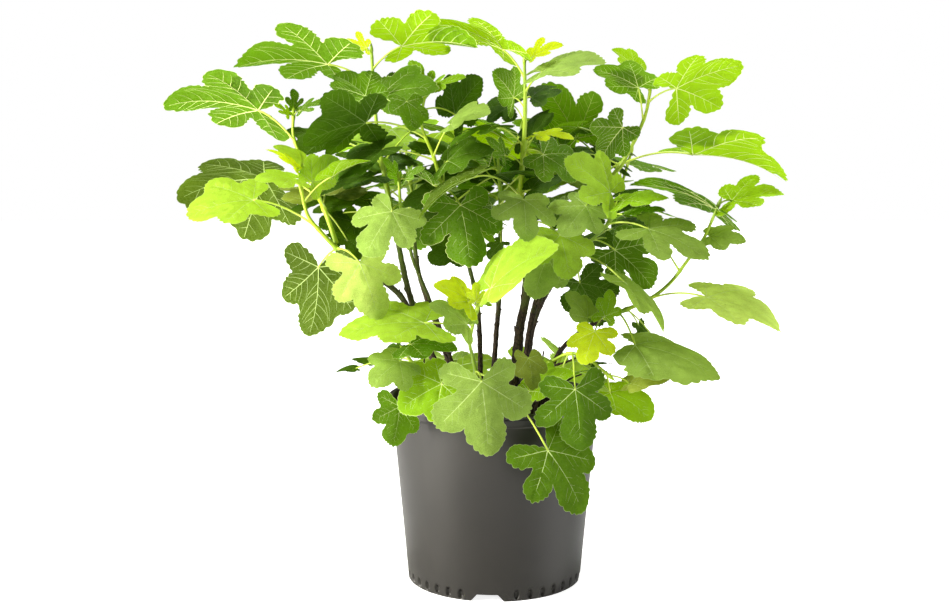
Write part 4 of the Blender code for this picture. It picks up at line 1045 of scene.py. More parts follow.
def ring_faces(rings, sides, closed=True):
    """The quads between rings of points that follow one another."""
    ring, side = np.meshgrid(np.arange(rings - 1), np.arange(sides if closed else sides - 1), indexing="ij")
    start = (ring * sides + side).ravel()
    after = (ring * sides + (side + 1) % sides).ravel()
    return np.stack((start, after, after + sides, start + sides), axis=1)


def limb_points(path, radii, sides):
    """Rings of points round a path. Radii has one value for each ring, or one for each point of each ring."""
    rings = []
    across = path[0].orthogonal()
    turns = np.linspace(0, 2 * math.pi, sides, endpoint=False)
    radii = np.asarray(radii, float).reshape(len(path), -1)
    for i, place in enumerate(path):
        direction = (path[min(i + 1, len(path) - 1)] - path[max(i - 1, 0)]).normalized()
        across = (across - direction * across.dot(direction)).normalized()
        beside = direction.cross(across)
        ring = np.outer(np.cos(turns), across) + np.outer(np.sin(turns), beside)
        rings.append(np.array(place) + ring * radii[i][:, None])
    return np.concatenate(rings)


def run_of(line):
    """How far along a line of points each of them is."""
    steps = np.linalg.norm(np.diff(line, axis=0), axis=1)
    return np.concatenate(([0], np.cumsum(steps)))


def evenly(line, count):
    """The line again with this many points, evenly spaced."""
    run = run_of(line)
    places = np.linspace(0, run[-1], count)
    return np.stack([np.interp(places, run, line[:, axis]) for axis in (0, 1)], axis=1)


def varied_lobes(form, dice):
    """The form's lobes, the side ones each a little off their usual angle, length and width."""
    lobes = []
    for angle, length, half_width in plain_lobes(form):
        if angle:
            angle += math.radians(dice.uniform(-LOBE_TURN, LOBE_TURN))
            length *= dice.uniform(*LOBE_LENGTHS)
        lobes.append((angle, length, half_width * dice.uniform(*LOBE_WIDTHS)))
    return lobes


def outward_of(line):
    """The unit normals of an outline that runs round the knuckle from right to left."""
    along_line = np.gradient(line, axis=0)
    along_line /= np.linalg.norm(along_line, axis=1, keepdims=True) + 1e-9
    return np.stack((along_line[:, 1], -along_line[:, 0]), axis=1)


def scalloped(line, dice):
    """An outline for a midrib of 1 with rounded scallops and a gentle unevenness along its edge."""
    run = run_of(line)
    phase, drift = dice.uniform(0, math.pi), dice.uniform(0, 2 * math.pi)
    slow, quick, strong, rolling = SCALLOP_WAVES
    swing = SCALLOP_DRIFTS[0] * np.sin(run * slow + drift) + SCALLOP_DRIFTS[1] * np.sin(run * quick + phase)
    scallop = np.abs(np.sin(math.pi * run / SCALLOP_PITCH + phase + swing)) - SCALLOP_MEAN
    scallop *= SCALLOP_STRENGTHS[0] + SCALLOP_STRENGTHS[1] * np.sin(run * strong + phase * 3)
    uneven = UNEVENNESS * np.sin(run * rolling + drift * 2)
    fade = np.clip(np.minimum(run, run[-1] - run) / SCALLOP_FADE, 0, 1)
    return line + outward_of(line) * (SCALLOP_HEIGHT * (scallop + uneven) * fade)[:, None]


def blade_outline(form, dice):
    """The lobes and the rim of one blade, for a midrib of 1."""
    lobes = varied_lobes(form, dice)
    angles = np.linspace(-BACK_ANGLE, BACK_ANGLE, OUTLINE_SAMPLES)
    closing = np.clip((BACK_ANGLE - np.abs(angles)) / BACK_TAPER, 0, 1) ** 0.5
    reach = reach_at(angles, lobes, form["body"]) * np.maximum(closing, BACK_LEAST)
    line = np.stack((np.cos(angles), np.sin(angles)), axis=1) * reach[:, None]
    rim = evenly(line, int(run_of(line)[-1] / RIM_SPACING))
    for _ in range(RIM_ROUNDING):
        rim[1:-1] = (rim[:-2] + rim[1:-1] * 2 + rim[2:]) / 4
    return lobes, scalloped(rim, dice)


def inside_reach(points, lobes, body):
    """How far each point is from the knuckle, as a share of the blade's reach in that direction."""
    angles = np.arctan2(points[:, 1], points[:, 0])
    return np.hypot(points[:, 0], points[:, 1]) / reach_at(angles, lobes, body)


def nearest_lobe(points, lobes):
    angles = np.arctan2(points[:, 1], points[:, 0])
    return np.abs(angles[:, None] - np.array([lobe[0] for lobe in lobes])).argmin(axis=1)


def side_vein(start, heading, bend, lobes, lobe, body):
    """One side vein as points: it leaves at an angle, bends forward and stops short of the edge."""
    shares = np.linspace(0, 1, SIDE_SAMPLES)
    turns = heading - bend * shares
    steps = np.stack((np.cos(turns), np.sin(turns)), axis=1) * SIDE_FURTHEST / len(shares)
    line = start + np.concatenate(([[0, 0]], np.cumsum(steps[:-1], axis=0)))
    fits = (inside_reach(line, lobes, body) < SIDE_REACH) & (nearest_lobe(line, lobes) == lobe)
    fits[:2] = True
    end = len(line) if fits.all() else int(np.argmin(fits))
    return evenly(line[:end], SIDE_STEPS + 1) if end > SIDE_LEAST else None


def blade_veins(lobes, body, dice):
    """All veins of a blade, as (points, half width at the start, half width at the end)."""
    veins = []
    for lobe, (angle, length, _) in enumerate(lobes):
        heading = np.array((math.cos(angle), math.sin(angle)))
        shares = np.linspace(0, SIDE_REACH * length, MAIN_STEPS + 1)
        strength = MAIN_STRENGTH[0] + MAIN_STRENGTH[1] * length
        veins.append((shares[:, None] * heading, MAIN_HALF[0] * strength, MAIN_HALF[1]))
        places = np.arange(SIDE_FIRST, SIDE_LAST * length, SIDE_PITCH)
        for place, side in itertools.product(places, (1, -1)):
            start = (place + side * SIDE_PITCH / 4 + dice.uniform(-SIDE_JITTER, SIDE_JITTER)) * heading
            turn = angle + side * SIDE_ANGLE * dice.uniform(*SIDE_ANGLES_VARY)
            line = side_vein(start, turn, side * SIDE_BEND, lobes, lobe, body)
            if line is not None:
                veins.append((line, SIDE_HALF[0], SIDE_HALF[1]))
    return veins


def distance_to(points, lines):
    """How far each point is from the nearest of these lines."""
    starts = np.concatenate([line[:-1] for line in lines])
    steps = np.concatenate([np.diff(line, axis=0) for line in lines])
    away = points[:, None] - starts
    share = np.clip((away * steps).sum(axis=2) / ((steps**2).sum(axis=1) + 1e-12), 0, 1)
    return np.linalg.norm(away - steps * share[:, :, None], axis=2).min(axis=1)


def lattice(rim, spacing):
    """Points in offset rows over the blade."""
    low, high = rim.min(axis=0), rim.max(axis=0)
    rows = np.arange(low[1], high[1], spacing * MESH_ROW_PITCH)
    found = []
    for i, row in enumerate(rows):
        places = np.arange(low[0] + spacing * (i % 2) / 2, high[0], spacing)
        found.append(np.stack((places, np.full(len(places), row)), axis=1))
    return np.concatenate(found)


def flat_mesh(rim, veins, lobes, body):
    """The blade laid flat: its points, its triangles, and which triangles make the pale edge."""
    inner = rim - outward_of(rim) * EDGE_WIDTH
    veined = np.concatenate([line[:-1] for line, _, _ in veins])
    grid = lattice(rim, MESH_SPACING)
    grid = grid[inside_reach(grid, lobes, body) < SIDE_REACH]
    grid = grid[distance_to(grid, [rim]) > MESH_SPACING * MESH_CLEAR]
    grid = grid[distance_to(grid, [line for line, _, _ in veins]) > MESH_SPACING * MESH_CLEAR]
    points = np.concatenate((rim, inner, veined, grid))
    count = len(rim)
    edges = [(i, (i + 1) % count) for i in range(count)]
    flat, _, faces, sources, _, _ = delaunay_2d_cdt([Vector(p) for p in points], edges, [], 1, 1e-6)
    on_rim = np.array([any(i < count for i in source) or not source for source in sources])
    near_rim = np.array([any(i < 2 * count for i in source) or not source for source in sources])
    faces = np.array([face for face in faces if len(face) == 3])
    pale = near_rim[faces].all(axis=1) & on_rim[faces].any(axis=1)
    return np.array([tuple(p) for p in flat]), faces, pale


def surface(points, veins, fold, shape):
    """How far the blade stands up at these points, for a midrib of 1."""
    x, y = points[:, 0], points[:, 1]
    beside = np.sqrt(y**2 + FOLD_SOFTNESS**2) - FOLD_SOFTNESS
    rise = 4 * ARCH * x * (1 - x) - SIDE_DROOP * y**2 + math.tan(fold) * beside
    reach = np.hypot(x, y)
    angle = np.arctan2(y, x)
    rise += WAVE * reach**2 * np.sin(angle * shape["waves"] + shape["phase"])
    rise += shape["twist"] * x * y - shape["curl"] * reach**4
    off = distance_to(points, [line for line, _, _ in veins])
    main = distance_to(points, [line for line, half, _ in veins if half > SIDE_HALF[0]])
    rise += SWELL * (1 - np.exp(-((off / SWELL_WIDTH) ** 2)))
    return rise + SWELL * (1 - np.exp(-((main / (SWELL_WIDTH * 2)) ** 2)))


def vein_rib(line, first, last, rise_at):
    """A vein as a rib with a four-cornered section, proud on both sides of the blade."""
    half = np.linspace(first, last, len(line))
    beside = outward_of(line) * half[:, None]
    height = rise_at(line)
    left = np.column_stack((line + beside, height))
    right = np.column_stack((line - beside, height))
    over = np.column_stack((line, height + half * VEIN_OVER))
    under = np.column_stack((line, height - half * VEIN_UNDER))
    return np.stack((left, over, right, under), axis=1).reshape(-1, 3)


def grow_blade(leaf, heaps, dice):
    """One blade with its veins, in the tone's heaps."""
    vein_tone = TONES[leaf["tone"]][2]
    lobes, rim = blade_outline(leaf["form"], dice)
    body = leaf["form"]["body"]
    veins = blade_veins(lobes, body, dice)
    flat, faces, pale = flat_mesh(rim, veins, lobes, body)
    shape = {"waves": dice.randint(*WAVE_TURNS), "phase": dice.uniform(0, 2 * math.pi),
             "curl": dice.uniform(*CURL), "twist": dice.uniform(-TWIST, TWIST)}

    def rise_at(points):
        return surface(points, veins, leaf["fold"], shape)

    def placed(points):
        return np.array(leaf["knuckle"]) + points @ np.array(blade_axes(leaf)).T * blade_length(leaf)

    blade = heaps["leaves_" + leaf["tone"]]
    blade.add(placed(np.column_stack((flat, rise_at(flat)))), faces, pale * PALE_FINISH)
    blade.masses.add(leaf["mass"])
    underside = leaf["turn"] > UNDERSIDE_TURN
    for line, first, last in veins:
        pale_rib = underside or first > SIDE_HALF[0]
        heap, finish = (heaps[vein_tone], 0) if pale_rib else (blade, PALE_FINISH)
        heap.add(placed(vein_rib(line, first, last, rise_at)), ring_faces(len(line), 4), finish)


def grow_stalk(leaf, heap):
    path = stalk_path(leaf, FINE_STALK_STEPS)
    scale = min(1.0, STALK_LEAST + blade_length(leaf) / STALK_FULL_BLADE)
    swelling = np.array(STALK_SWELLING) * STALK_RADIUS * scale
    radii = np.interp(np.linspace(0, 1, len(path)), STALK_PLACES, swelling)
    heap.add_limb(limb_points(path, radii, STALK_SIDES), STALK_SIDES)


def add_bud(heap, place, direction, radius, length, sides):
    path = [place + direction * length * share for share in BUD_PLACES]
    heap.add_limb(limb_points(path, np.array(BUD_SWELLING) * radius, sides), sides)


def grow_shoot(mass, leaves, heap):
    """The green shoot, a little swollen at each leaf, with a bud in each leaf's angle and one on top."""
    path = shoot_path(mass, FINE_PATH_STEPS)
    run = run_of(np.array(path))
    radii = np.linspace(STEMS[MASSES[mass][0]][3], SHOOT_TIP_RADIUS, len(path))
    for leaf in leaves:
        place = max(leaf["share"] * run[-1], LOWEST_NODE)
        radii = radii * (1 + NODE_SWELL * np.exp(-(((run - place) / NODE_WIDTH) ** 2)))
        direction = (stalk_path(leaf)[1] - leaf["node"]).normalized()
        upward = (direction + Vector((0, 0, BUD_LIFT))).normalized()
        add_bud(heap, leaf["node"], upward, *BUD_SIZE, BUD_SIDES)
    heap.add_limb(limb_points(path, radii, SHOOT_FINE_SIDES), SHOOT_FINE_SIDES)
    end = (path[-1] - path[-2]).normalized()
    add_bud(heap, path[-1] - end * TIP_BUD_SUNK, end, *TIP_BUD_SIZE, TIP_BUD_SIDES)


def grow_stem(name, heap, dice):
    """A stem with the bark's relief: fine ridges, slight rings, and the scars of old leaves all round."""
    parent, _, base_radius, tip_radius = STEMS[name]
    path = stem_path(name, FINE_PATH_STEPS, clear=False)
    run = run_of(np.array(path))
    rings = max(int(run[-1] / BARK_STEP), LEAST_RINGS)
    places = np.linspace(0, run[-1], rings)
    path = [Vector([np.interp(place, run, np.array(path)[:, axis]) for axis in range(3)]) for place in places]
    radii = np.linspace(base_radius, tip_radius, rings)
    if parent is None:
        radii = radii * (1 + STEM_FLARE * np.exp(-places / FLARE_HEIGHT))
    turns = np.linspace(0, 2 * math.pi, BARK_SIDES, endpoint=False)
    phase, twist = dice.uniform(0, 9), dice.uniform(0, 2 * math.pi)
    relief = np.ones((rings, BARK_SIDES))
    ring_waves = np.cos(2 * math.pi * places / RING_PITCH + phase) ** RING_SHARPNESS
    relief += RING_SWELL * ring_waves[:, None]
    for i, scar in enumerate(np.arange(SCAR_FIRST, run[-1], SCAR_PITCH)):
        around = np.cos(turns - twist - i * SCAR_TURN)
        bump = np.exp(-(((places - scar) / SCAR_WIDTH) ** 2))[:, None] * np.clip(around, 0, 1) ** 3
        relief += SCAR_SWELL * bump * dice.uniform(*SCAR_STRENGTHS)
        grow_stub(path, places, scar, radii, twist + i * SCAR_TURN, heap, dice)
    points = limb_points(path, radii[:, None] * relief, BARK_SIDES)
    middles = np.repeat(np.array(path), BARK_SIDES, axis=0)
    for i, point in enumerate(points):
        rough = noise.noise(Vector(point * ROUGH_SCALES))
        fine = noise.noise(Vector(point) * FINE_SCALE)
        points[i] = point + (point - middles[i]) * BARK_RELIEF * (rough * ROUGH_SHARE + fine * FINE_SHARE)
    heap.add_limb(points, BARK_SIDES)


def grow_stub(path, places, scar, radii, turn, heap, dice):
    """The short stub of an old bud or twig on the side of a stem."""
    ring = min(int(np.searchsorted(places, scar)), len(path) - 2)
    direction = (path[ring + 1] - path[ring]).normalized()
    across = path[0].orthogonal()
    across = (across - direction * across.dot(direction)).normalized()
    outward = across * math.cos(turn) + direction.cross(across) * math.sin(turn)
    radius, length = STUB_SIZE
    rise = (outward + direction * dice.uniform(*STUB_RISES)).normalized()
    length = length * dice.uniform(*STUB_LENGTHS)
    add_bud(heap, path[ring] + outward * radii[ring] * STUB_OUT, rise, radius, length, STUB_SIDES)


def grow_twigs(heap):
    """Bare dead twigs that stand in the soil or leave a stem low down."""
    for places in TWIGS:
        path = smooth_path([seen(*place) for place in places], FINE_PATH_STEPS)
        radii = np.linspace(*TWIG_RADII, len(path))
        knots = 1 + TWIG_KNOTS[0] * np.cos(np.arange(len(path)) * TWIG_KNOTS[1])
        heap.add_limb(limb_points(path, radii * knots, STALK_SIDES), STALK_SIDES)


def fine_pot_profile():
    """The pot's outline again with rounded corners and enough rings for the detail at its foot."""
    band = POT_HEIGHT - BAND_DROP
    under_lip = POT_HEIGHT - LIP_DEPTH
    inner = wall_radius(POT_HEIGHT) - WALL
    profile = [(0, BASE_HOLLOW), (FOOT_RADIUS - BASE_RIM - 0.1, BASE_HOLLOW), (FOOT_RADIUS - BASE_RIM, 0.02)]
    profile += [(FOOT_RADIUS - BASE_RIM + 0.05, 0), (FOOT_RADIUS - 0.1, 0), (FOOT_RADIUS - 0.03, 0.04)]
    heights = [(step + 1) * FOOT_RING_STEP for step in range(FOOT_RINGS)] + [1.8, WALL_FIRST]
    wall = band - 0.1 - WALL_FIRST
    heights += [WALL_FIRST + wall * (step + 1) / WALL_RINGS for step in range(WALL_RINGS)]
    profile += [(wall_radius(height), height) for height in heights]
    for share in (0.2, 0.6, 0.9, 1):
        profile.append((wall_radius(band) + BAND_PROUD * share, band + BAND_PROUD * share))
    profile += [(wall_radius(band + step) + BAND_PROUD, band + step) for step in (0.3, 0.6, 0.9)]
    profile += [(wall_radius(under_lip) + BAND_PROUD, under_lip - 0.06), (LIP_RADIUS - 0.5, under_lip - 0.01)]
    for step in range(LIP_STEPS + 1):
        angle = math.pi * (step / LIP_STEPS - 0.5)
        radius = LIP_RADIUS - LIP_DEPTH * LIP_ROUND + math.cos(angle) * LIP_DEPTH * LIP_ROUND
        profile.append((radius, under_lip + LIP_DEPTH / 2 + math.sin(angle) * LIP_DEPTH / 2))
    profile += [(inner + 0.12, POT_HEIGHT), (inner + 0.03, POT_HEIGHT - 0.05), (inner, POT_HEIGHT - 0.15)]
    profile += [(inner - 0.05, POT_HEIGHT - 0.6), (wall_radius(SOIL_TOP) - WALL, SOIL_TOP)]
    profile += [(wall_radius(SOIL_TOP - 3) - WALL, SOIL_TOP - 3), (0, SOIL_TOP - 3)]
    return profile


def soft_step(value, edge, width):
    """0 well below the edge and 1 well above it."""
    share = np.clip((value - edge) / width + 0.5, 0, 1)
    return share * share * (3 - 2 * share)


def build_pot():
    profile = np.array(fine_pot_profile())
    turns = np.linspace(0, 2 * math.pi, FINE_POT_SIDES, endpoint=False)
    radius = np.repeat(profile[:, :1], FINE_POT_SIDES, axis=1)
    height = np.repeat(profile[:, 1:], FINE_POT_SIDES, axis=1)
    outer = (radius > FOOT_RADIUS - DENTED_SHELL[0]) & (height < DENTED_SHELL[1])
    beside = np.abs((turns * DENTS / (2 * math.pi)) % 1 - 0.5) * 2 * math.pi / DENTS * FOOT_RADIUS
    off_middle = np.hypot(beside / DENT_HALF_SIZES[0], (height - DENT_MIDDLE) / DENT_HALF_SIZES[1])
    front = (turns - math.radians(270) - NOTCH_TURN + math.pi / 4) % (math.pi / 2) - math.pi / 4
    wide, narrow = NOTCH_HALF_WIDTHS
    lift = NOTCH_HEIGHT * np.clip((wide - np.abs(front) * FOOT_RADIUS) / (wide - narrow), 0, 1)
    away = np.abs(front) * FOOT_RADIUS > wide + DENT_HALF_SIZES[0]
    radius = radius - DENT_DEPTH * (1 - soft_step(off_middle, 1, DENT_SOFTNESS)) * outer * away
    height = np.where(height < NOTCH_HEIGHT, np.maximum(height, lift), height)
    points = np.stack((radius * np.cos(turns), radius * np.sin(turns), height), axis=2)
    heap = Heap()
    heap.add(points.reshape(-1, 3), ring_faces(len(profile), FINE_POT_SIDES))
    pot = heap.piece("pot_shell", [pot_finish()])
    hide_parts("pot")


def build_soil():
    """Crumbly potting mix: an uneven disc, chips of bark and pale granules on it."""
    dice = random.Random(SOIL_SEED)
    rim = wall_radius(SOIL_TOP) - WALL - 0.02
    turns = np.linspace(0, 2 * math.pi, SOIL_SPOKES, endpoint=False)
    radii = np.linspace(0.05, rim, SOIL_RINGS)
    points = np.stack((np.outer(radii, np.cos(turns)), np.outer(radii, np.sin(turns))), axis=2).reshape(-1, 2)
    points = np.column_stack((points, [soil_height(x, y) for x, y in points]))
    heap = Heap()
    heap.add(points, ring_faces(SOIL_RINGS, SOIL_SPOKES))
    strew(heap, BARK_CHIPS, rim, dice)
    soil = heap.piece("potting_soil", [soil_finish()])
    soil.data.shade_flat()
    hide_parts("soil")
    heap = Heap()
    strew(heap, PALE_BITS, rim, dice)
    bits = heap.piece("pale_granules", [granule_finish()])


def soil_height(x, y):
    rough = sum(share * noise.noise(Vector((x * scale, y * scale, z))) for share, scale, z in SOIL_LAYERS)
    return SOIL_TOP - SOIL_ROUGH + SOIL_ROUGH * rough


def strew(heap, kind, rim, dice):
    """Small angular bits, half sunk in the soil."""
    count, least, greatest = kind
    corners = np.array(((1, 0, 0), (0, 1, 0), (-1, 0, 0), (0, -1, 0), (0, 0, 1), (0, 0, -1)), float)
    faces = [(0, 1, 4), (1, 2, 4), (2, 3, 4), (3, 0, 4), (1, 0, 5), (2, 1, 5), (3, 2, 5), (0, 3, 5)]
    for _ in range(count):
        size = least + (greatest - least) * dice.random() ** 2
        away, turn = (rim - size) * math.sqrt(dice.random()), dice.uniform(0, 2 * math.pi)
        x, y = away * math.cos(turn), away * math.sin(turn)
        spin = Matrix.Rotation(dice.uniform(0, 2 * math.pi), 3, "Z")
        spin = spin @ Matrix.Rotation(dice.uniform(-BIT_TILT, BIT_TILT), 3, "X")
        stretch = np.array((1, dice.uniform(*BIT_WIDTHS), dice.uniform(*BIT_HEIGHTS))) * size
        shaken = corners * (1 + np.array([[dice.uniform(-BIT_SHAKE, BIT_SHAKE)] for _ in corners]))
        points = (shaken * stretch) @ np.array(spin).T + np.array((x, y, soil_height(x, y)))
        points[:, 2] = np.minimum(points[:, 2], SOIL_TOP)
        heap.add(points, faces)


def build_plant():
    others = [stem_shape(name) for name in STEMS]
    others.append(turned(pot_profile(), POT_SIDES))
    heaps = {name: Heap() for name in [f"leaves_{tone}" for tone in TONES] + list(VEIN_COLOURS)}
    heaps.update({"leaf_stalks": Heap(), "green_shoots": Heap(), "woody_stems": Heap()})
    dice = random.Random(SEED + 1)
    for mass, leaves in placed_leaves(others).items():
        for i, leaf in enumerate(leaves):
            leaf["mass"] = mass
            leaf.setdefault("tone", rule_tone(leaf, i))
            grow_blade(leaf, heaps, dice)
            grow_stalk(leaf, heaps["leaf_stalks"])
        grow_shoot(mass, leaves, heaps["green_shoots"])
    for name in STEMS:
        grow_stem(name, heaps["woody_stems"], dice)
    grow_twigs(heaps["woody_stems"])
    finish_plant(heaps)


def rule_tone(leaf, i):
    tones = next(tones for lowest, tones in FILL_TONES if leaf["knuckle"].z >= lowest)
    return tones[i % len(tones)]


def finish_plant(heaps):
    veins = {name: vein_finish(name, colour) for name, colour in VEIN_COLOURS.items()}
    for tone, (face, glow, vein_name, clearness, net) in TONES.items():
        heap = heaps["leaves_" + tone]
        # The side veins' colour lies between the tone's and its vein colour, so it carries their painted
        # light and shade
        side_colour = between(face, VEIN_COLOURS[vein_name], clearness)
        side_veins = vein_finish("side_veins_" + tone, side_colour)
        piece = heap.piece("leaves_" + tone, [leaf_finish(tone, face, glow, net), side_veins])
        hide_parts(*sorted(heap.masses))
    for name, finish in veins.items():
        heaps[name].piece(name, [finish])
    heaps["leaf_stalks"].piece("leaf_stalks", [green_finish("leaf_stalk", STALK_COLOURS)])
    shoots = heaps["green_shoots"].piece("green_shoots", [green_finish("green_shoot", SHOOT_COLOURS)])
    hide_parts(*MASSES)
    stems = heaps["woody_stems"].piece("woody_stems", [bark_finish()])
    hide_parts(*STEMS)


def new_group(name, inputs, outputs):
    """An empty shader node group with inputs, given with default values, and outputs, given with kinds."""
    group = bpy.data.node_groups.new(name, "ShaderNodeTree")
    for socket, value in inputs.items():
        made = group.interface.new_socket(socket, in_out="INPUT", socket_type="NodeSocketFloat")
        made.default_value = value
    for socket, kind in outputs.items():
        group.interface.new_socket(socket, in_out="OUTPUT", socket_type=kind)
    return group, group.nodes.new("NodeGroupInput"), group.nodes.new("NodeGroupOutput")


def add_node(tree, kind, links=(), values=(), **settings):
    """A new node. Links are (socket that gives, socket that takes), and values (socket, value)."""
    made = tree.nodes.new(kind)
    for name, value in settings.items():
        setattr(made, name, value)
    for socket, value in values:
        made.inputs[socket].default_value = value
    for giver, taker in links:
        tree.links.new(giver, made.inputs[taker])
    return made


def grain_group():
    """Fine grain: small cells with raised edges, and soft cloudy patches. Scale is in cells a metre."""
    outputs = {"Cells": "NodeSocketFloat", "Clouds": "NodeSocketFloat"}
    group, start, end = new_group("fine_grain", {"Scale": 300.0, "Stretch": 1.0}, outputs)
    scale, stretch = start.outputs["Scale"], start.outputs["Stretch"]
    place = add_node(group, "ShaderNodeTexCoord").outputs["Object"]
    apart = add_node(group, "ShaderNodeSeparateXYZ", [(place, "Vector")]).outputs
    height = add_node(group, "ShaderNodeMath", [(apart["Z"], 0), (stretch, 1)], operation="MULTIPLY")
    links = [(apart["X"], "X"), (apart["Y"], "Y"), (height.outputs[0], "Z")]
    joined = add_node(group, "ShaderNodeCombineXYZ", links).outputs[0]
    links = [(joined, "Vector"), (scale, "Scale")]
    cells = add_node(group, "ShaderNodeTexVoronoi", links, feature="DISTANCE_TO_EDGE")
    edge = add_node(group, "ShaderNodeMapRange", [(cells.outputs["Distance"], "Value")],
                    [("From Max", 0.28)], interpolation_type="SMOOTHSTEP")
    smaller = add_node(group, "ShaderNodeMath", [(scale, 0)], [(1, 0.12)], operation="MULTIPLY")
    links = [(joined, "Vector"), (smaller.outputs[0], "Scale")]
    clouds = add_node(group, "ShaderNodeTexNoise", links, [("Detail", 3.0)])
    clearer = add_node(group, "ShaderNodeMapRange", [(clouds.outputs["Fac"], "Value")],
                       [("From Min", 0.3), ("From Max", 0.7)])
    group.links.new(edge.outputs["Result"], end.inputs["Cells"])
    group.links.new(clearer.outputs["Result"], end.inputs["Clouds"])
    return group


def new_finish(name, roughness, specular):
    made = bpy.data.materials.new(name)
    made.use_nodes = True
    shader = made.node_tree.nodes["Principled BSDF"]
    shader.inputs["Roughness"].default_value = roughness
    shader.inputs["Specular IOR Level"].default_value = specular
    return made, made.node_tree, shader


def add_grain(tree, scale, stretch=1.0):
    return add_node(tree, "ShaderNodeGroup", (), [("Scale", scale), ("Stretch", stretch)], node_tree=GRAIN)


def two_colours(tree, share, first, second):
    """A colour between the first and the second, by a share that changes over the surface."""
    colours = [(6, (*first, 1)), (7, (*second, 1))]
    return add_node(tree, "ShaderNodeMix", [(share, 0)], colours, data_type="RGBA").outputs[2]


def between(first, second, share):
    return tuple(a + (b - a) * share for a, b in zip(first, second))


def shaded(colour, factor):
    return tuple(min(1.0, value * factor) for value in colour)


def add_bump(tree, shader, height, strength, distance):
    values = [("Strength", strength), ("Distance", distance)]
    bump = add_node(tree, "ShaderNodeBump", [(height, "Height")], values)
    tree.links.new(bump.outputs["Normal"], shader.inputs["Normal"])


def leaf_finish(tone, face, glow, net):
    """A soft leaf: fine raised cells, a net of fine veins, cloudy mottling, and light that comes through."""
    made, tree, shader = new_finish("leaf_" + tone, 0.7, 0.08)
    felt = add_grain(tree, FELT_CELLS)
    mottled = two_colours(tree, felt.outputs["Clouds"], *(shaded(face, share) for share in MOTTLING))
    light, strength = FELT_LINES
    felted = line_colour(tree, felt.outputs["Cells"], mottled, shaded(face, light), strength)
    net_cells = add_grain(tree, NET_CELLS).outputs["Cells"]
    veined = line_colour(tree, net_cells, felted, VEIN_COLOURS["veins_pale"], net)
    tree.links.new(veined, shader.inputs["Base Color"])
    add_bump(tree, shader, felt.outputs["Cells"], 0.5, 0.0015)
    through = add_node(tree, "ShaderNodeBsdfTranslucent", (), [("Color", (*glow, 1))])
    links = [(shader.outputs[0], 1), (through.outputs[0], 2)]
    both = add_node(tree, "ShaderNodeMixShader", links, [("Fac", THROUGH_SHARE)])
    tree.links.new(both.outputs[0], tree.nodes["Material Output"].inputs["Surface"])
    return made


def line_colour(tree, cells, colour, lines, strength):
    """The colour again with lines between its cells, which are as clear as the strength says."""
    strengths = [("To Min", strength), ("To Max", 0.0)]
    share = add_node(tree, "ShaderNodeMapRange", [(cells, "Value")], strengths).outputs[0]
    mix = add_node(tree, "ShaderNodeMix", [(share, 0), (colour, 6)], [(7, (*lines, 1))], data_type="RGBA")
    return mix.outputs[2]


def grained_finish(name, surface, grain_sizes, colours, bump=None):
    """A finish whose colour wanders between two, with raised grain where it has a bump.

    The surface is (roughness, specular), the grain's sizes (scale, stretch), and a bump (strength, height).
    """
    made, tree, shader = new_finish(name, *surface)
    grain = add_grain(tree, *grain_sizes)
    tree.links.new(two_colours(tree, grain.outputs["Clouds"], *colours), shader.inputs["Base Color"])
    if bump:
        add_bump(tree, shader, grain.outputs["Cells"], *bump)
    return made


def vein_finish(name, colour):
    return grained_finish(name, (0.5, 0.4), (500, 1.0), (shaded(colour, 0.85), shaded(colour, 1.1)))


def green_finish(name, colours):
    """Green stalks and shoots: darker and lighter along their length, with fine lengthwise streaks."""
    return grained_finish(name, (0.42, 0.45), (160, 0.25), colours, (0.15, 0.0004))


def soil_finish():
    """Damp crumbs, from nearly black to brown."""
    colours = (paint(16, 12, 9), paint(58, 44, 34))
    return grained_finish("potting_soil", (0.95, 0.15), (650, 1.0), colours, (0.6, 0.001))


def granule_finish():
    """Pale grey brown bits in the soil."""
    colours = (paint(130, 118, 100), paint(214, 206, 192))
    return grained_finish("pale_granules", (0.85, 0.3), (700, 1.0), colours)


def bark_finish():
    """Young bark: dark brown below, and more olive green the higher it is."""
    made, tree, shader = new_finish("young_bark", 0.8, 0.25)
    grain = add_grain(tree, 420, 0.35)
    place = add_node(tree, "ShaderNodeTexCoord").outputs["Object"]
    height = add_node(tree, "ShaderNodeSeparateXYZ", [(place, "Vector")]).outputs["Z"]
    patches = add_node(tree, "ShaderNodeTexNoise", [(place, "Vector")], [("Scale", 60)])
    links = [(patches.outputs["Fac"], 0), (height, 2)]
    uneven = add_node(tree, "ShaderNodeMath", links, [(1, 0.12)], operation="MULTIPLY_ADD")
    heights = [("From Min", 0.40), ("From Max", 0.52)]
    green = add_node(tree, "ShaderNodeMapRange", [(uneven.outputs[0], "Value")], heights)
    brown = two_colours(tree, grain.outputs["Cells"], paint(30, 22, 16), paint(64, 50, 36))
    links = [(green.outputs[0], 0), (brown, 6)]
    olive = add_node(tree, "ShaderNodeMix", links, [(7, (*paint(88, 108, 36), 1))], data_type="RGBA")
    tree.links.new(olive.outputs[2], shader.inputs["Base Color"])
    add_bump(tree, shader, grain.outputs["Cells"], 0.5, 0.0008)
    return made


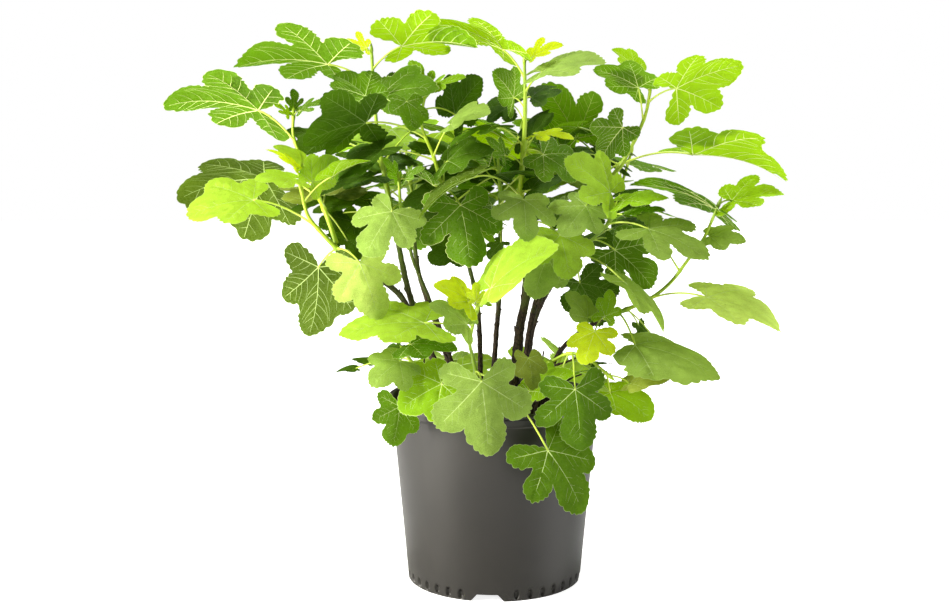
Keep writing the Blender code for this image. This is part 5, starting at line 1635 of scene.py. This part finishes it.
def pot_finish():
    """Dark satin plastic, with a fine grain and faint smudges that change its colour and its gloss."""
    made, tree, shader = new_finish("moulded_plastic", 0.4, 0.5)
    grain = add_grain(tree, 900, 0.5)
    place = add_node(tree, "ShaderNodeTexCoord").outputs["Object"]
    sizes = [("Scale", 22), ("Detail", 4)]
    smudges = add_node(tree, "ShaderNodeTexNoise", [(place, "Vector")], sizes).outputs["Fac"]
    colour = two_colours(tree, smudges, paint(23, 21, 18), paint(31, 28, 25))
    tree.links.new(colour, shader.inputs["Base Color"])
    gloss = [("To Min", 0.36), ("To Max", 0.5)]
    rough = add_node(tree, "ShaderNodeMapRange", [(smudges, "Value")], gloss)
    tree.links.new(rough.outputs[0], shader.inputs["Roughness"])
    add_bump(tree, shader, grain.outputs["Cells"], 0.08, 0.0003)
    return made


def set_camera():
    data = bpy.data.cameras.new("camera")
    data.sensor_width = FILM_WIDTH
    data.lens = FILM_WIDTH * PIXELS_PER_CM * EYE_DISTANCE / IMAGE_WIDTH
    camera = put_in_scene("camera", data)
    camera.location = EYE * CM
    camera.rotation_euler = (math.pi / 2 - EYE_TILT, 0, 0)
    bpy.context.scene.camera = camera


def add_light(name, kind, place, direction, **settings):
    data = bpy.data.lights.new(name, kind)
    for setting, value in settings.items():
        setattr(data, setting, value)
    light = put_in_scene(name, data)
    light.location = place
    light.rotation_euler = Vector(direction).to_track_quat("-Z", "Y").to_euler()


def area_light(name, place, target, size, power, colour=(1, 1, 1)):
    direction = Vector(target) - Vector(place)
    add_light(name, "AREA", place, direction, shape="RECTANGLE", size=size[0], size_y=size[1],
              energy=power, color=colour)


def build_studio():
    """A white floor and white surroundings, a strong light from above and behind, and soft ones in front."""
    world = bpy.data.worlds.new("studio")
    world.use_nodes = True
    tree = world.node_tree
    background = tree.nodes["Background"]
    background.inputs["Color"].default_value = (*WARM, 1)
    background.inputs["Strength"].default_value = WORLD_LIGHT
    white = add_node(tree, "ShaderNodeBackground", (), [("Color", (1, 1, 1, 1)), ("Strength", 1.0)])
    camera_ray = add_node(tree, "ShaderNodeLightPath").outputs["Is Camera Ray"]
    links = [(camera_ray, 0), (background.outputs[0], 1), (white.outputs[0], 2)]
    both = add_node(tree, "ShaderNodeMixShader", links)
    tree.links.new(both.outputs[0], tree.nodes["World Output"].inputs["Surface"])
    bpy.context.scene.world = world
    add_light("high_back_light", "SUN", (0, 0, 0), (-0.25, -0.75, -1.5), energy=BACK_LIGHT,
              angle=math.radians(12))
    area_light("front_left_light", (-2.1, -1.2, 1.7), (0, 0, 0.4), (0.5, 0.5), FRONT_LIGHT, WARM)
    area_light("left_strip_light", (-1.6, -0.75, 0.4), (0, 0, 0.12), (0.6, 0.9), STRIP_LIGHTS[0], WARM)
    area_light("right_strip_light", (1.5, -0.55, 0.35), (0, 0, 0.12), (0.6, 0.9), STRIP_LIGHTS[1])
    build_floor()


def build_floor():
    """A level square that glows a little, and more to the camera, so that it shows nearly white."""
    mesh = bpy.data.meshes.new("floor")
    corners = [(x * FLOOR_REACH, y * FLOOR_REACH, 0) for x, y in ((-1, -1), (1, -1), (1, 1), (-1, 1))]
    mesh.from_pydata(corners, [], [(0, 1, 2, 3)])
    made, tree, shader = new_finish("white_floor", 0.9, 0.0)
    shader.inputs["Base Color"].default_value = (0.6, 0.6, 0.6, 1)
    shader.inputs["Emission Color"].default_value = (1, 1, 1, 1)
    camera_ray = add_node(tree, "ShaderNodeLightPath").outputs["Is Camera Ray"]
    glow = [("To Min", FLOOR_GLOW), ("To Max", FLOOR_SEEN)]
    seen_share = add_node(tree, "ShaderNodeMapRange", [(camera_ray, "Value")], glow)
    tree.links.new(seen_share.outputs[0], shader.inputs["Emission Strength"])
    mesh.materials.append(made)
    put_in_scene("floor", mesh)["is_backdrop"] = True


for blade_form in FORMS:
    blade_form["outline"] = coarse_outline(blade_form)
GRAIN = grain_group()
set_camera()
build_studio()
build_pot()
build_soil()
build_plant()
bpy.context.scene.view_settings.view_transform = "Standard"

boxes = {"cad": cad_box, "visual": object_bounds()}
{name: [list(corner) for corner in box] for name, box in boxes.items()}
